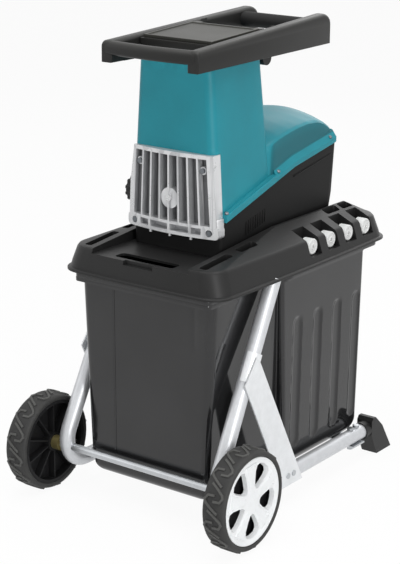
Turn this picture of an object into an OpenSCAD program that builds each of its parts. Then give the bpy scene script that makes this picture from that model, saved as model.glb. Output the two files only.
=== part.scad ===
// Electric garden shredder: a cutting roller and its motor in a moulded housing, on a deck
// over a collecting box that slides rearwards out of a wheeled tube frame.
// The front is -Y, where the wheels and the finned casting are. The floor is z = 0.

/* [Wheels] */
// Diameter of a tyre
wheel_d = 206; // [198:1:212]
// Width of a tyre
tyre_w = 52; // [46:1:58]
// Thickness of a tyre from tread to hub cap
tyre_t = 14; // [11:1:18]
// Spokes of a hub cap
spokes = 5; // [4:1:6]
// Tread bars in each of the two rows round a tyre
tread_bars = 20; // [14:1:26]
// Diameter of the axle
axle_d = 16; // [12:1:20]
// How far the axle lies in front of the middle
axle_front = 262; // [260:1:268]
// Space between a tyre and the frame tube beside it
wheel_gap = 15; // [12:1:22]

/* [Frame] */
// Diameter of the frame tube
tube_d = 32; // [28:1:33]
// Wall of the frame tube
tube_wall = 2; // [1.5:0.5:3]
// Half the distance between the two lower tube runs
tube_x = 194; // [192:1:196]
// Height of the lower tube runs
run_z = 61; // [58:1:64]
// Where the lower runs end inside the feet
run_back = 288; // [280:1:292]
// Bend radius of the tube
bend_r = 56; // [52:1:62]
// Slope of the legs above the floor
leg_angle = 62.2; // [61:0.2:64]
// Inward lean of the legs
leg_lean = 1; // [0.8:0.1:1.4]
// How far the legs reach up into the deck
leg_in_deck = 4; // [2:1:5]
// Thickness of a brace plate
brace_t = 3; // [2:0.5:4]
// Width of a brace plate
brace_w = 66; // [58:1:70]
// Length of the brace saddle on the leg
saddle_l = 60; // [50:1:66]
// Width of a cross strap
strap_w = 46; // [40:1:54]
// Thickness of a cross strap
strap_t = 4; // [3:0.5:5]
// How far the middle of a strap rises to carry the box
strap_rise = 7; // [5:1:9]
// Diameter of the strap bolts
bolt_d = 8; // [6:1:10]
// Wall of a foot round its tube
foot_wall = 3; // [2:0.5:3.5]
// Length of a foot on the floor
foot_l = 60; // [45:1:64]

/* [Deck] */
// Half the width of the deck lip
deck_x = 204; // [204:1:208]
// How far the deck reaches to the front
deck_front = 278; // [272:1:284]
// How far the deck reaches to the rear
deck_back = 357; // [345:1:362]
// Height of the lower edge of the deck
deck_z = 485; // [482:1:488]
// Height of the deck lip
lip_h = 11; // [8:1:14]
// Height of the outer edge of the deck above its lower edge
deck_edge_h = 55; // [52:1:58]
// Height of the deck crest beside the housing
deck_crest_h = 80; // [75:1:86]
// Height of the sunken floor above the lower edge
floor_h = 45; // [42:1:48]
// Thickness of the sunken floor
floor_t = 5; // [4:0.5:8]
// Wall of the deck skirt
skirt_t = 5; // [4:0.5:6]
// Half the width of the sunken floor
recess_x = 119; // [117:1:124]
// Radius of the deck corners
deck_r = 44; // [30:1:50]
// Shoulder notches on each side
notches = 4; // [2:1:4]
// Distance between notches
notch_pitch = 68; // [60:1:70]
// Width of a notch
notch_w = 42; // [38:1:48]
// Diameter of the pale discs in the notches
disc_d = 34; // [28:1:36]

/* [Box] */
// Half the width of the box at its wide rear part
box_x = 176; // [172:1:178]
// Half the width of the box between the legs
box_front_x = 165; // [158:1:166]
// How far the box reaches to the front
box_front = 247; // [242:1:249]
// How far the box reaches to the rear
box_back = 287; // [280:1:295]
// Wall of the box
box_wall = 3; // [2:0.5:4]
// Height of the rim of the box
rim_h = 18; // [14:1:22]
// Upright flutes on each side of the box
flutes = 4; // [2:1:4]
// Distance between the flutes
flute_pitch = 75; // [68:1:76]
// Width of a flute
flute_w = 34; // [26:1:38]
// Depth of a flute
flute_t = 3; // [1.5:0.5:4]

/* [Housing] */
// Half the width of the lower housing at the deck
housing_x = 108; // [104:1:112]
// How far the housing reaches to the front
housing_front = 146; // [143:1:150]
// How far the housing reaches to the rear
housing_back = 260; // [256:1:264]
// Wall of the housing
housing_wall = 5; // [4:0.5:6]
// Half the width of the seam flange
flange_x = 117; // [116:1:119]
// Height of the seam flange
flange_h = 16; // [12:1:18]
// Height of the seam at the front, middle and rear
seam_z = [600, 672, 704];
// Half the width of the hopper at the top
hopper_x = 88; // [86:1:90]
// How far the hopper stands out in front of the housing above the casting
hopper_out = 11; // [8:1:12]
// How far the foot of the hopper reaches to the rear
hopper_back = 41; // [38:1:42]
// Height of the top of the hopper
hopper_z = 907; // [890:1:925]
// Wall of the hopper
hopper_wall = 5; // [4:0.5:6]
// Height of the motor cover crown
crown_z = 768; // [764:1:774]

/* [Front casting] */
// Height of the top of the casting
casting_top = 737; // [730:1:744]
// Height of the bottom of the casting
casting_low = 571; // [568:1:575]
// How far the middle of the casting stands out in front of the housing
casting_out = 26; // [22:1:28]
// Radius of the bowed front of the casting
casting_bow = 450; // [420:10:600]
// Half the width of the casting at the top
casting_x = 100; // [98:1:102]
// Cooling fins between the two edge bars
fins = 7; // [5:1:9]
// Thickness of a fin
fin_t = 4; // [3:0.5:6]
// Depth of the gaps between the fins
fin_depth = 22; // [18:0.5:23]

/* [Top frame] */
// Half the width of the top frame at its front
frame_x = 117; // [115:1:120]
// How far the top frame reaches to the front
frame_front = 232; // [226:1:240]
// How far the top frame reaches to the rear
frame_back = 242; // [236:1:250]
// Height of the rails at the front
rail_h = 42; // [39:1:45]
// Width of a rail
rail_w = 26; // [23:1:28]
// Rise of the rails towards the rear
rail_slope = 2.7; // [2.2:0.1:3]
// Taper of the rails in plan
rail_taper = 1.57; // [1.2:0.1:1.8]
// Diameter of the rear handle bar
bar_d = 31; // [26:1:33]
// Thickness of the lid
lid_t = 6; // [4:0.5:7]
// Diameter of the lid hinge pin
lid_pin_d = 6; // [5:0.5:7]

/* [Drive] */
// Outer diameter of the cutting roller
roller_d = 80; // [74:1:82]
// Cutting teeth of the roller
roller_teeth = 8; // [6:1:10]
// Height of the roller axis
roller_z = 642; // [640:1:645]
// Diameter of the roller shaft
shaft_d = 16; // [14:1:20]
// Outer diameter of the roller bearings
bearing_d = 36; // [34:1:38]
// Width of the roller bearings
bearing_w = 11; // [9:1:12]
// Module of the gear teeth
gear_m = 2; // [1.9:0.05:2.05]
// Teeth of the roller gear
gear_teeth = 48; // [46:1:50]
// Teeth of the motor pinion
pinion_teeth = 12; // [11:1:13]
// Width of the gears
gear_w = 16; // [12:1:18]
// Diameter of the motor case
motor_d = 80; // [72:1:82]
// Length of the motor case
motor_l = 118; // [100:1:122]
// Diameter of the motor shaft
motor_shaft_d = 10; // [8:1:12]

/* [Controls] */
// Diameter of the adjusting knob
knob_d = 56; // [48:1:60]
// Thickness of the adjusting knob
knob_t = 16; // [14:1:24]
// Diameter of the adjusting spindle
spindle_d = 12; // [10:1:14]
// Travel of the counter plate
plate_travel = 6; // [4:1:7]
// Diameter of the two push buttons
button_d = 22; // [18:1:24]
// Travel of the push buttons
button_travel = 4; // [3:0.5:5]
// Diameter of the direction selector
selector_d = 32; // [26:1:36]

/* [Clearances] */
// Radial running clearance of shafts
run_fit = 0.05; // [0.03:0.01:0.1]
// Gap between pieces that seat or slide on each other
seat_gap = 0.3; // [0.2:0.05:0.5]

/* [Hidden] */
$fn = 48;
hull_fn = 32;
skin = 0.02;
reach = 600;

axle_z = wheel_d / 2;
rim_r = wheel_d / 2 - tyre_t;
wheel_in_x = tube_x + tube_d / 2 + wheel_gap;
hub_r = axle_d / 2 + 12;
hub_in = 3;
cap_t = 5;
cap_set = 4;
hub_out = tyre_w - cap_set - cap_t - 5;
clip_t = 3;

axle_up = (axle_z - run_z) / cos(leg_lean);
bend_y = -axle_front + sqrt(pow(bend_r, 2) - pow(bend_r - axle_up, 2));
leg_y = bend_y - bend_r * sin(leg_angle);
leg_z = bend_r * (1 + cos(leg_angle));
leg_l = ((deck_z + leg_in_deck - run_z) / cos(leg_lean) - leg_z) / sin(leg_angle);
brace_foot_y = -33;
brace_top_z = 267;
strap_low = run_z - tube_d / 2 - strap_t;
strap_top = run_z - tube_d / 2 + strap_rise;
front_strap_y = -150;
rear_strap_y = run_back - 56;
bolt_pitch = 22;
foot_r = tube_d / 2 + foot_wall;
foot_y = run_back - 26;

edge_z = deck_z + deck_edge_h;
crest_z = deck_z + deck_crest_h;
floor_z = deck_z + floor_h;
notch_z = deck_z + 20;
notch_y = 46;
notch_in = 146;
handle_bar = 25;
// Finger slot: half width and length. Scoop in front of it: half width, length and depth
hand_slot = [72, 30];
scoop = [35, 18, 9];
crest_front = 10;
crest_back = deck_back - 70;
slot_w = 18;
slot_r = 5;
slot_z = crest_z - 36;
// Slots in the side bands: where each starts and ends along the deck
front_slots = [[-250, -160], [-134, -77]];
rear_slots = [[192, 242], [252, 293]];

box_z = strap_top + seat_gap;
box_top = deck_z - 1.5;
box_step = [0, -28];
box_draft = 8;
front_draft = 18;
rim_z = box_top - rim_h;
rim_lip_h = 10;
flute_y = 36;
flute_low = 40;
flute_high = 328;

chamber_x = [-78, 46];
chamber_back = 4;
bulkhead_t = 24;
casting_back = housing_front - 9;
casting_face = housing_front + casting_out;
casting_flange_z = casting_low + 25;
casting_low_x = flange_x - 5;
casting_side_x = casting_low_x - 4;
edge_bar = 12;
function fin_at(k, x) = (2 * k / (fins + 1) - 1) * (x - edge_bar);
// Bowed front of the casting, measured along the housing
function casting_y(x) = casting_bow - casting_face - sqrt(pow(casting_bow, 2) - pow(x, 2));
screw_head = [11, 4];
// Screws of the casting on the right side: distance from the middle and height
casting_screw_places = [
    [casting_x - edge_bar - 11, casting_top - 31], [casting_low_x - 20, casting_low + 12]
];
// Windows in the lower flange of the casting on the right side
casting_windows = [[3, 47], [53, 75]];
plug_d = 12;
motor_room_y = chamber_back + bulkhead_t;
seam_mid = 100;
seam_back = housing_back + 30;
cover_front = 20;
flange_back = housing_back + 5;
flange_r = 14;
// How far the flange screws sit inside the edge of the flange
screw_inset = 4;
screw_places = [-132, 45, 236];
// Ribs of the motor cover: distance along the housing, drop of the eave and of the crown
dome_ribs = [[26, 33, 14], [98, 18, 2], [157, 18, 0], [218, 30, 10], [244, 42, 24]];

roller_l = casting_back + chamber_back - 8;
bearing_y = [-casting_back - bearing_w, chamber_back + 6];
gear_y = motor_room_y + 6;
motor_z = roller_z + gear_m * (gear_teeth + pinion_teeth) / 2;
plate_y = gear_y + gear_w + 10;
plate_t = 6;
gear_plate_h = 140;
motor_y = plate_y + plate_t;
fan_y = motor_y + motor_l + 3;

knob_y = -110;
knob_z = 631.5;
plate_z = [602, 668];
plate_x = [chamber_x[0] + 2, -roller_d / 2 - plate_travel - 3];

function rail_z(y) = hopper_z + rail_h + (y + frame_front) * tan(rail_slope);
lid_front = -housing_front + 2;
lid_pin_y = 22;
lid_z = rail_z(lid_pin_y) - 8;
lid_up = 1;

switch_z = 628;
switch_w = 120;
switch_h = 64;
switch_t = 8;
switch_y = housing_back - 7;

// Both halves of a symmetric pair
module both_sides() {
    children();
    mirror([1, 0, 0]) children();
}

// Flat outline in the Y-Z plane, extruded along X
module side_profile(points, x0, x1) {
    translate([x0, 0, 0]) rotate([90, 0, 90]) linear_extrude(x1 - x0) polygon(points);
}

module box_between(x, y, z) {
    translate([x[0], y[0], z[0]]) cube([x[1] - x[0], y[1] - y[0], z[1] - z[0]]);
}

module along_y(y, x, z) {
    translate([x, y, z]) rotate([-90, 0, 0]) children();
}

module rounded_rect(x, y0, y1, r) {
    translate([-x + r, y0]) square([2 * (x - r), y1 - y0]);
    translate([-x, y0 + r]) square([2 * x, y1 - y0 - 2 * r]);
    for (sx = [-1, 1]) {
        for (y = [y0 + r, y1 - r]) translate([sx * (x - r), y]) circle(r);
    }
}

// Flat slab with round upright corners: half width, front, rear, bottom, top, corner radius
module slab(x, y0, y1, z0, z1, r) {
    translate([0, 0, z0]) linear_extrude(z1 - z0) rounded_rect(x, y0, y1, r);
}

// Thin outline for a drafted block: half width, front, rear, height, corner radius
module ring(x, y0, y1, z, r) {
    for (sx = [-1, 1]) {
        for (y = [y0 + r, y1 - r]) {
            translate([sx * (x - r), y, z - skin / 2]) cylinder(r = r, h = skin, $fn = hull_fn);
        }
    }
}

function seam_at(y) = y < seam_mid
    ? seam_z[0] + (y + housing_front) * (seam_z[1] - seam_z[0]) / (seam_mid + housing_front)
    : seam_z[1] + (y - seam_mid) * (seam_z[2] - seam_z[1]) / (seam_back - seam_mid);

module above_seam(lift = 0) {
    before = -housing_front - 30;
    side_profile([
        [before, seam_z[0] + lift], [-housing_front, seam_z[0] + lift],
        [seam_mid, seam_z[1] + lift], [seam_back, seam_z[2] + lift],
        [seam_back, hopper_z + 50], [before, hopper_z + 50]
    ], -reach / 2, reach / 2);
}

// Wheels

module at_wheel() {
    translate([wheel_in_x, -axle_front, axle_z]) rotate([0, 90, 0]) children();
}

module tyre_section(shoulder) {
    outer = wheel_d / 2;
    translate([rim_r, 0]) square([tyre_t - shoulder, tyre_w]);
    translate([rim_r, shoulder]) square([tyre_t, tyre_w - 2 * shoulder]);
    for (z = [shoulder, tyre_w - shoulder]) translate([outer - shoulder, z]) circle(shoulder);
}

module right_tyre() {
    tread_depth = 3;
    groove_w = 7;
    row = tyre_w / 2 - 5;
    color("#232324") at_wheel() difference() {
        rotate_extrude($fn = 96) tyre_section(6);
        for (k = [0 : tread_bars - 1]) {
            rotate([0, 0, k * 360 / tread_bars]) translate([wheel_d / 2, 0, tyre_w / 4 - 1])
                rotate([34, 0, 0]) cube([2 * tread_depth, groove_w, row], center = true);
            rotate([0, 0, (k + 0.5) * 360 / tread_bars]) translate([wheel_d / 2, 0, tyre_w * 3 / 4 + 1])
                rotate([34, 0, 0]) cube([2 * tread_depth, groove_w, row], center = true);
        }
    }
}

module right_wheel_core() {
    rim_t = 7;
    web_z = tyre_w / 2 - 4;
    bore_r = axle_d / 2 + run_fit;
    outer = rim_r - seat_gap / 2;
    color("#1c1c1d") at_wheel() {
        rotate_extrude($fn = 96) {
            translate([bore_r, hub_in]) square([hub_r - bore_r, hub_out - hub_in]);
            translate([hub_r - 1, web_z]) square([outer - hub_r - 1, 5]);
            translate([outer - rim_t, 2]) square([rim_t, tyre_w - cap_set - cap_t - 4]);
        }
        for (a = [0 : 36 : 324]) {
            rotate([0, 0, a]) translate([hub_r - 1, -1.5, hub_in + 3])
                cube([outer - hub_r - 4, 3, web_z - hub_in - 2]);
        }
    }
}

// One dark window between two spokes, wider towards the rim
module cap_window() {
    half = 180 / spokes;
    spoke_half = 10;
    inner = hub_r + 6;
    outer = rim_r - 15;
    intersection() {
        difference() {
            circle(outer, $fn = 96);
            circle(inner);
        }
        polygon([
            [0, 0],
            [2 * outer * cos(half - spoke_half), -2 * outer * sin(half - spoke_half)],
            [2 * outer * cos(half - spoke_half), 2 * outer * sin(half - spoke_half)]
        ]);
    }
}

module right_hub_cap() {
    face = tyre_w - cap_set;
    outer = rim_r - seat_gap;
    color("#d9dadb") at_wheel() difference() {
        rotate_extrude($fn = 96) {
            translate([0, face - cap_t]) square([outer, cap_t]);
            translate([outer - 9, face - 1]) square([9, cap_set]);
            translate([0, face - 1]) square([hub_r - 4, cap_set]);
        }
        for (k = [0 : spokes - 1]) {
            rotate([0, 0, k * 360 / spokes + 12]) translate([0, 0, face - cap_t - 1])
                linear_extrude(cap_t + 2) cap_window();
        }
    }
}

module left_tyre() { mirror([1, 0, 0]) right_tyre(); }
module left_wheel_core() { mirror([1, 0, 0]) right_wheel_core(); }
module left_hub_cap() { mirror([1, 0, 0]) right_hub_cap(); }

module axle_rod(d, half) {
    translate([-half, -axle_front, axle_z]) rotate([0, 90, 0]) cylinder(d = d, h = 2 * half);
}

module axle() {
    color("#c4c6c8") axle_rod(axle_d, wheel_in_x + hub_out + clip_t + 1);
}

module axle_bushes() {
    inner = tube_x - axle_up * sin(leg_lean) + tube_d / 2 * cos(leg_lean) + seat_gap;
    length = wheel_in_x + hub_in - seat_gap - inner;
    color("#b59a4a") both_sides() translate([inner, -axle_front, axle_z]) rotate([0, 90, 0]) difference() {
        cylinder(r = hub_r - 5, h = length);
        translate([0, 0, -1]) cylinder(d = axle_d + 2 * run_fit, h = length + 2);
    }
}

module axle_clips() {
    color("#8f9194") both_sides()
        translate([wheel_in_x + hub_out + seat_gap, -axle_front, axle_z]) rotate([0, 90, 0]) difference() {
            cylinder(r = axle_d / 2 + 5, h = clip_t);
            translate([0, 0, -1]) cylinder(d = axle_d + 2 * run_fit, h = clip_t + 2);
        }
}

// Tube frame

// The legs lean inwards about the axis of the lower run
module in_leg_plane() {
    translate([tube_x, 0, run_z]) rotate([0, -leg_lean, 0]) children();
}

module leg(d, above = 0, below = 0) {
    translate([0, leg_y, leg_z]) rotate([leg_angle - 90, 0, 0]) translate([0, 0, -below])
        cylinder(d = d, h = leg_l + above + below);
}

// Hollow tube along the lower run, round the bend and up the leg.
// The straight tube is a hair thinner than the bend, as it is on a bent tube.
module bent_tube() {
    bore = tube_d - 2 * tube_wall;
    hair = 0.1;
    lap = 0.5;
    translate([0, bend_y - lap, 0]) rotate([-90, 0, 0]) difference() {
        cylinder(d = tube_d - hair, h = run_back - bend_y + lap);
        translate([0, 0, -1]) cylinder(d = bore + hair, h = reach);
    }
    translate([0, bend_y, bend_r]) rotate([0, 90, 0]) rotate([0, 0, leg_angle - 180])
        rotate_extrude(angle = 180 - leg_angle, $fn = 96) translate([bend_r, 0]) difference() {
            circle(d = tube_d);
            circle(d = bore);
        }
    difference() {
        leg(tube_d - hair, 0, lap);
        leg(bore + hair, 2, 2);
    }
}

// Places of the two rivets at the lower end of a brace, in the plane of the legs
module at_rivets() {
    for (dy = [-10, 10]) translate([tube_d / 2, brace_foot_y + dy - 6, 6]) rotate([0, 90, 0]) children();
}

// Places of the bolts of both cross straps
module at_strap_bolts() {
    for (y = [front_strap_y, rear_strap_y]) {
        for (dy = [-bolt_pitch / 2, bolt_pitch / 2]) translate([tube_x, y + dy, 0]) children();
    }
}

module right_side_tube() {
    color("#c9cbcd") difference() {
        in_leg_plane() difference() {
            bent_tube();
            at_rivets() translate([0, 0, -tube_d / 2]) cylinder(r = 3 + seat_gap, h = tube_d);
        }
        axle_rod(axle_d + 2 * run_fit, reach / 2);
        at_strap_bolts() translate([0, 0, strap_low]) cylinder(d = bolt_d + 2 * seat_gap, h = tube_d + 20);
    }
}

// The plate runs from the saddle on the leg down over the outer side of the lower run
module right_brace() {
    half = brace_w / 2 / sin(leg_angle);
    inner = tube_d / 2 + seat_gap;
    top_y = leg_y + (brace_top_z - leg_z) / tan(leg_angle);
    color("#d3d5d6") in_leg_plane() difference() {
        union() {
            side_profile([
                [brace_foot_y - half, -tube_d / 2], [brace_foot_y + half, -tube_d / 2],
                [top_y + 13, brace_top_z + 10], [top_y, brace_top_z + 24], [top_y - 38, brace_top_z - 26]
            ], inner, inner + brace_t);
            intersection() {
                translate([0, top_y, brace_top_z]) rotate([leg_angle - 90, 0, 0]) difference() {
                    cylinder(d = 2 * (inner + brace_t), h = saddle_l, center = true);
                    cylinder(d = 2 * inner, h = saddle_l + 2, center = true);
                }
                box_between([0, tube_d], [-reach, reach], [0, reach]);
            }
        }
        at_rivets() cylinder(r = 3 + seat_gap, h = 3 * brace_t);
    }
}

module brace_rivets() {
    shank = tube_wall + brace_t + seat_gap;
    color("#b9bbbd") both_sides() in_leg_plane() at_rivets() {
        translate([0, 0, -tube_wall]) cylinder(r = 3, h = shank);
        translate([0, 0, shank - tube_wall]) cylinder(r = 6, h = 2);
    }
}

module left_side_tube() { mirror([1, 0, 0]) right_side_tube(); }
module left_brace() { mirror([1, 0, 0]) right_brace(); }

module right_foot() {
    heel = run_back + 16;
    top = run_z + foot_r + 8;
    color("#1e1e1f") difference() {
        union() {
            along_y(foot_y, tube_x, run_z) cylinder(r = foot_r, h = run_back + 4 - foot_y);
            side_profile([
                [foot_y + 18, run_z - foot_r * 0.6], [heel, 0], [heel + foot_l, 0],
                [heel + foot_l * 0.35, run_z], [run_back + 8, top], [foot_y + 24, top],
                [foot_y + 18, run_z + foot_r]
            ], tube_x - foot_r, tube_x + foot_r);
        }
        along_y(foot_y - 1, tube_x, run_z)
            cylinder(r = tube_d / 2 + seat_gap, h = run_back - foot_y + 1 + seat_gap);
    }
}

module left_foot() { mirror([1, 0, 0]) right_foot(); }

// Flat strap under both tubes, joggled up in the middle to carry the box
module cross_strap(y) {
    out = tube_x + tube_d / 2;
    half = [
        [out, strap_low], [out, strap_low + strap_t],
        [tube_x - 24, strap_low + strap_t], [tube_x - 40, strap_top],
    ];
    under = [[tube_x - 42, strap_top - strap_t], [tube_x - 26, strap_low]];
    points = concat(
        half,
        [for (k = [len(half) - 1 : -1 : 0]) [-half[k][0], half[k][1]]],
        [for (k = [len(under) - 1 : -1 : 0]) [-under[k][0], under[k][1]]],
        under
    );
    color("#8d9093") difference() {
        translate([0, y + strap_w / 2, 0]) rotate([90, 0, 0]) linear_extrude(strap_w) polygon(points);
        both_sides() at_strap_bolts() translate([0, 0, strap_low - 1])
            cylinder(d = bolt_d + 2 * seat_gap, h = strap_t + 2);
    }
}

module front_cross_strap() { cross_strap(front_strap_y); }
module rear_cross_strap() { cross_strap(rear_strap_y); }

module strap_bolts() {
    top = run_z + tube_d / 2;
    color("#dfe1e2") both_sides() at_strap_bolts() {
        translate([0, 0, strap_low - 8]) cylinder(d = bolt_d, h = top + 2 - strap_low + 8);
        translate([0, 0, top + seat_gap]) cylinder(d = bolt_d + 6, h = 5);
        translate([0, 0, strap_low - 7 - seat_gap]) cylinder(d = bolt_d + 6, h = 7, $fn = 6);
    }
}

// Deck

module deck_body() {
    hull() {
        ring(deck_x - 4, -deck_front + 4, deck_back - 4, deck_z + skin, deck_r);
        ring(deck_x - 8, -deck_front + 6, deck_back - 6, deck_z + lip_h + 8, deck_r);
        ring(deck_x - 20, -deck_front + 11, deck_back - 13, edge_z - 4, deck_r);
        ring(deck_x - 26, -deck_front + 17, deck_back - 21, edge_z, deck_r);
        ring(recess_x + 3, crest_front, crest_back, crest_z, 12);
    }
}

// Slots in the tops of the side bands, those at the rear beside the sunken floor
module band_slots() {
    half = slot_w / 2;
    for (slot = front_slots) {
        translate([recess_x + slot_w + 5, 0, 0]) slab(half, slot[0], slot[1], slot_z, reach, slot_r);
    }
    for (slot = rear_slots) {
        translate([recess_x + half + 3, 0, 0]) slab(half, slot[0], slot[1], slot_z, reach, slot_r);
    }
}

module deck_cavity() {
    under = floor_z - floor_t;
    front = -deck_front + 4 + skirt_t;
    hull() {
        ring(deck_x - 4 - skirt_t, front, deck_back - 4 - skirt_t, deck_z - 1, deck_r - skirt_t);
        ring(deck_x - 19 - skirt_t, front + 6, deck_back - 12 - skirt_t, under, deck_r - skirt_t);
    }
}

// Thick places under the deck: sockets for the legs and walls round the notches
module deck_blocks() {
    socket = tube_d / 2 + 8;
    leg_top_y = leg_y + leg_l * cos(leg_angle);
    wall = 6;
    both_sides() {
        box_between(
            [deck_x - 16 - 2 * socket, deck_x], [leg_top_y - socket - 10, leg_top_y + socket],
            [deck_z, floor_z - floor_t + 1]
        );
        box_between(
            [notch_in - wall, deck_x],
            [notch_y - wall, notch_y + (notches - 1) * notch_pitch + notch_w + wall],
            [notch_z - wall, floor_z - floor_t + 1]
        );
    }
}

module deck() {
    color("#242425") difference() {
        union() {
            difference() {
                union() {
                    deck_body();
                    slab(deck_x, -deck_front, deck_back, deck_z, deck_z + lip_h, deck_r);
                }
                deck_cavity();
            }
            intersection() {
                deck_body();
                deck_blocks();
            }
        }
        box_between([-recess_x, recess_x], [-reach, reach], [floor_z, reach + deck_z]);
        box_between(chamber_x, [-casting_back + 4, chamber_back], [deck_z, floor_z + 1]);
        translate([0, -deck_front + handle_bar, 0])
            slab(hand_slot[0], 0, hand_slot[1], deck_z, floor_z + 1, 8);
        box_between([-scoop[0], scoop[0]], [-reach, -deck_front + scoop[1]], [floor_z - scoop[2], reach]);
        both_sides() {
            band_slots();
            in_leg_plane() leg(tube_d + 2 * seat_gap, seat_gap);
            for (k = [0 : notches - 1]) {
                box_between(
                    [notch_in, reach],
                    [notch_y + k * notch_pitch, notch_y + k * notch_pitch + notch_w], [notch_z, reach]
                );
            }
        }
    }
}

module shoulder_discs() {
    disc_in = notch_in + 20;
    first = notch_y + notch_w / 2;
    color("#cfd0d0") both_sides() for (k = [0 : notches - 1]) {
        translate([notch_in + seat_gap, first + k * notch_pitch, notch_z + disc_d / 2 + seat_gap])
            rotate([0, 90, 0]) {
                cylinder(d = disc_d / 2, h = disc_in - notch_in);
                translate([0, 0, disc_in - notch_in - 1]) cylinder(d = disc_d, h = 22);
            }
    }
}

// Collecting box

module box_front_part(grow, z0, z1) {
    hull() {
        ring(box_front_x - front_draft + grow, -box_front + 4 - grow, 60, z0, 14 + grow);
        ring(box_front_x + grow, -box_front - grow, 60, z1, 18 + grow);
    }
}

module box_rear_part(grow, z0, z1) {
    hull() {
        ring(box_x - box_draft + grow, box_step[0] - grow, box_back - 25 + grow, z0, 9 + grow);
        ring(box_x - box_draft + 1 + grow, box_step[0] - grow, box_back - 2 + grow, z0 + 28, 10 + grow);
        ring(box_x + grow, box_step[1] - grow, box_back + grow, z1, 10 + grow);
    }
}

// Upright flute with round ends, along the drafted side of the box
module side_flute(y, grow, depth) {
    lean = atan(box_draft / (rim_z - box_z));
    half = flute_w / 2;
    ends = [flute_low + half, flute_high - half];
    translate([box_x - box_draft - depth, y, box_z]) rotate([0, lean, 0]) {
        box_between([0, depth + 2], [-half - grow, half + grow], ends);
        for (z = ends) translate([0, 0, z]) rotate([0, 90, 0]) cylinder(r = half + grow, h = depth + 2);
    }
}

module box_flutes(grow, depth) {
    both_sides() for (k = [0 : flutes - 1]) side_flute(flute_y + k * flute_pitch, grow, depth);
}

module collecting_box() {
    color("#161617") difference() {
        union() {
            box_front_part(0, box_z, rim_z + 1);
            box_rear_part(0, box_z, rim_z + 1);
            slab(box_front_x + 3, -box_front - 18, 60, rim_z, box_top, 12);
            slab(box_x + 3, box_step[1] - 2, box_back + 6, rim_z, box_top, 20);
            slab(box_x + 14, box_step[1] - 2, box_back + 35, box_top - rim_lip_h, box_top, 20);
        }
        difference() {
            union() {
                box_front_part(-box_wall, box_z + box_wall, rim_z + 2);
                box_rear_part(-box_wall, box_z + box_wall, rim_z + 2);
                slab(box_front_x - box_wall, -box_front + box_wall, 70, rim_z, box_top + 1, 14);
                slab(box_x - box_wall, box_step[1] + box_wall, box_back - box_wall, rim_z, box_top + 1, 16);
            }
            box_flutes(box_wall - 1, flute_t + box_wall);
        }
        box_flutes(0, flute_t);
    }
}

// Housing

module housing_solid() {
    corner_r = 12;
    hull() {
        ring(housing_x, -housing_front, housing_back - 14, floor_z + skin, corner_r);
        ring(housing_x + 2, -housing_front, housing_back - 2, floor_z + 60, corner_r);
        ring(flange_x - 1, -housing_front, housing_back, seam_z[2] + 10, corner_r);
    }
}

module tower_solid(grow) {
    front = -housing_front - hopper_out - grow;
    hull() {
        ring(hopper_x + 20 + grow, front, hopper_back + grow, seam_z[0] - 6, 18);
        ring(hopper_x + grow, front, hopper_back - 21 + grow, hopper_z, 18);
    }
}

// The shaft narrows from the hopper mouth to the cutting chamber
module hopper_shaft() {
    hull() {
        ring(hopper_x - hopper_wall + 2, -housing_front + hopper_wall, 1 - hopper_wall, hopper_z + 40, 13);
        ring(chamber_x[1] + 30, -casting_back + 2, chamber_back, seam_z[1] + 10, 8);
    }
    box_between(chamber_x, [-casting_back - 1, chamber_back], [floor_z, seam_z[1] + 14]);
}

// Seat of the rear bearing and way through for the shaft, split by the seam
module rear_bearing_seat() {
    along_y(bearing_y[1], 0, roller_z) cylinder(d = bearing_d + 2 * run_fit, h = bulkhead_t);
    along_y(chamber_back - 1, 0, roller_z) cylinder(d = shaft_d + 8, h = bulkhead_t);
}

module casting_pocket() {
    box_between([-reach, reach], [-reach, -casting_back], [casting_low - seat_gap, casting_top + seat_gap]);
}

module lower_housing() {
    inner = housing_x - housing_wall;
    color("#202021") difference() {
        housing_solid();
        above_seam();
        casting_pocket();
        box_between(chamber_x, [-casting_back - 1, chamber_back], [floor_z - 1, reach + floor_z]);
        box_between([-inner, inner], [motor_room_y, housing_back - 22],
            [floor_z + housing_wall, reach + floor_z]);
        rear_bearing_seat();
        at_switch() box_between([-switch_w / 2, switch_w / 2], [-switch_t, 20],
            [-switch_h / 2, switch_h / 2]);
        at_inlet() inlet_block(seat_gap, 20);
    }
}

// Flange along the seam of an upper shell, round the rear corners
module seam_flange(y0, y1) {
    difference() {
        intersection() {
            above_seam();
            slab(flange_x, -reach / 2, flange_back, 0, hopper_z, flange_r);
            box_between([-reach, reach], [y0, y1], [0, hopper_z]);
        }
        above_seam(flange_h);
    }
}

module hopper() {
    color("#2f8790") difference() {
        union() {
            intersection() {
                tower_solid(0);
                above_seam();
            }
            seam_flange(-housing_front, cover_front);
        }
        casting_pocket();
        hopper_shaft();
        rear_bearing_seat();
        box_between([-60, 60], [motor_room_y, reach], [0, motor_z + 45]);
        translate([-reach / 2, knob_y, knob_z]) rotate([0, 90, 0])
            cylinder(d = spindle_d + 2 * run_fit, h = reach / 2 + chamber_x[0] + 1);
    }
}

module dome(grow) {
    eave_r = 10;
    crown_r = 24;
    hull() {
        ring(flange_x - 7 + grow, 0, housing_back - 1 + grow, seam_z[1] - 40, flange_r);
        ring(flange_x - 8 + grow, 0, housing_back - 2 + grow, seam_z[2] - 24, flange_r);
        for (rib = dome_ribs) {
            for (sx = [-1, 1]) {
                translate([sx * (flange_x - 10 - eave_r), rib[0], crown_z - rib[1] - eave_r])
                    sphere(r = eave_r + grow, $fn = 20);
                translate([sx * 40, rib[0], crown_z - rib[2] - 3 - crown_r])
                    sphere(r = crown_r + grow, $fn = 24);
            }
            translate([0, rib[0], crown_z - rib[2] - crown_r]) sphere(r = crown_r + grow, $fn = 24);
        }
    }
}

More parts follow.
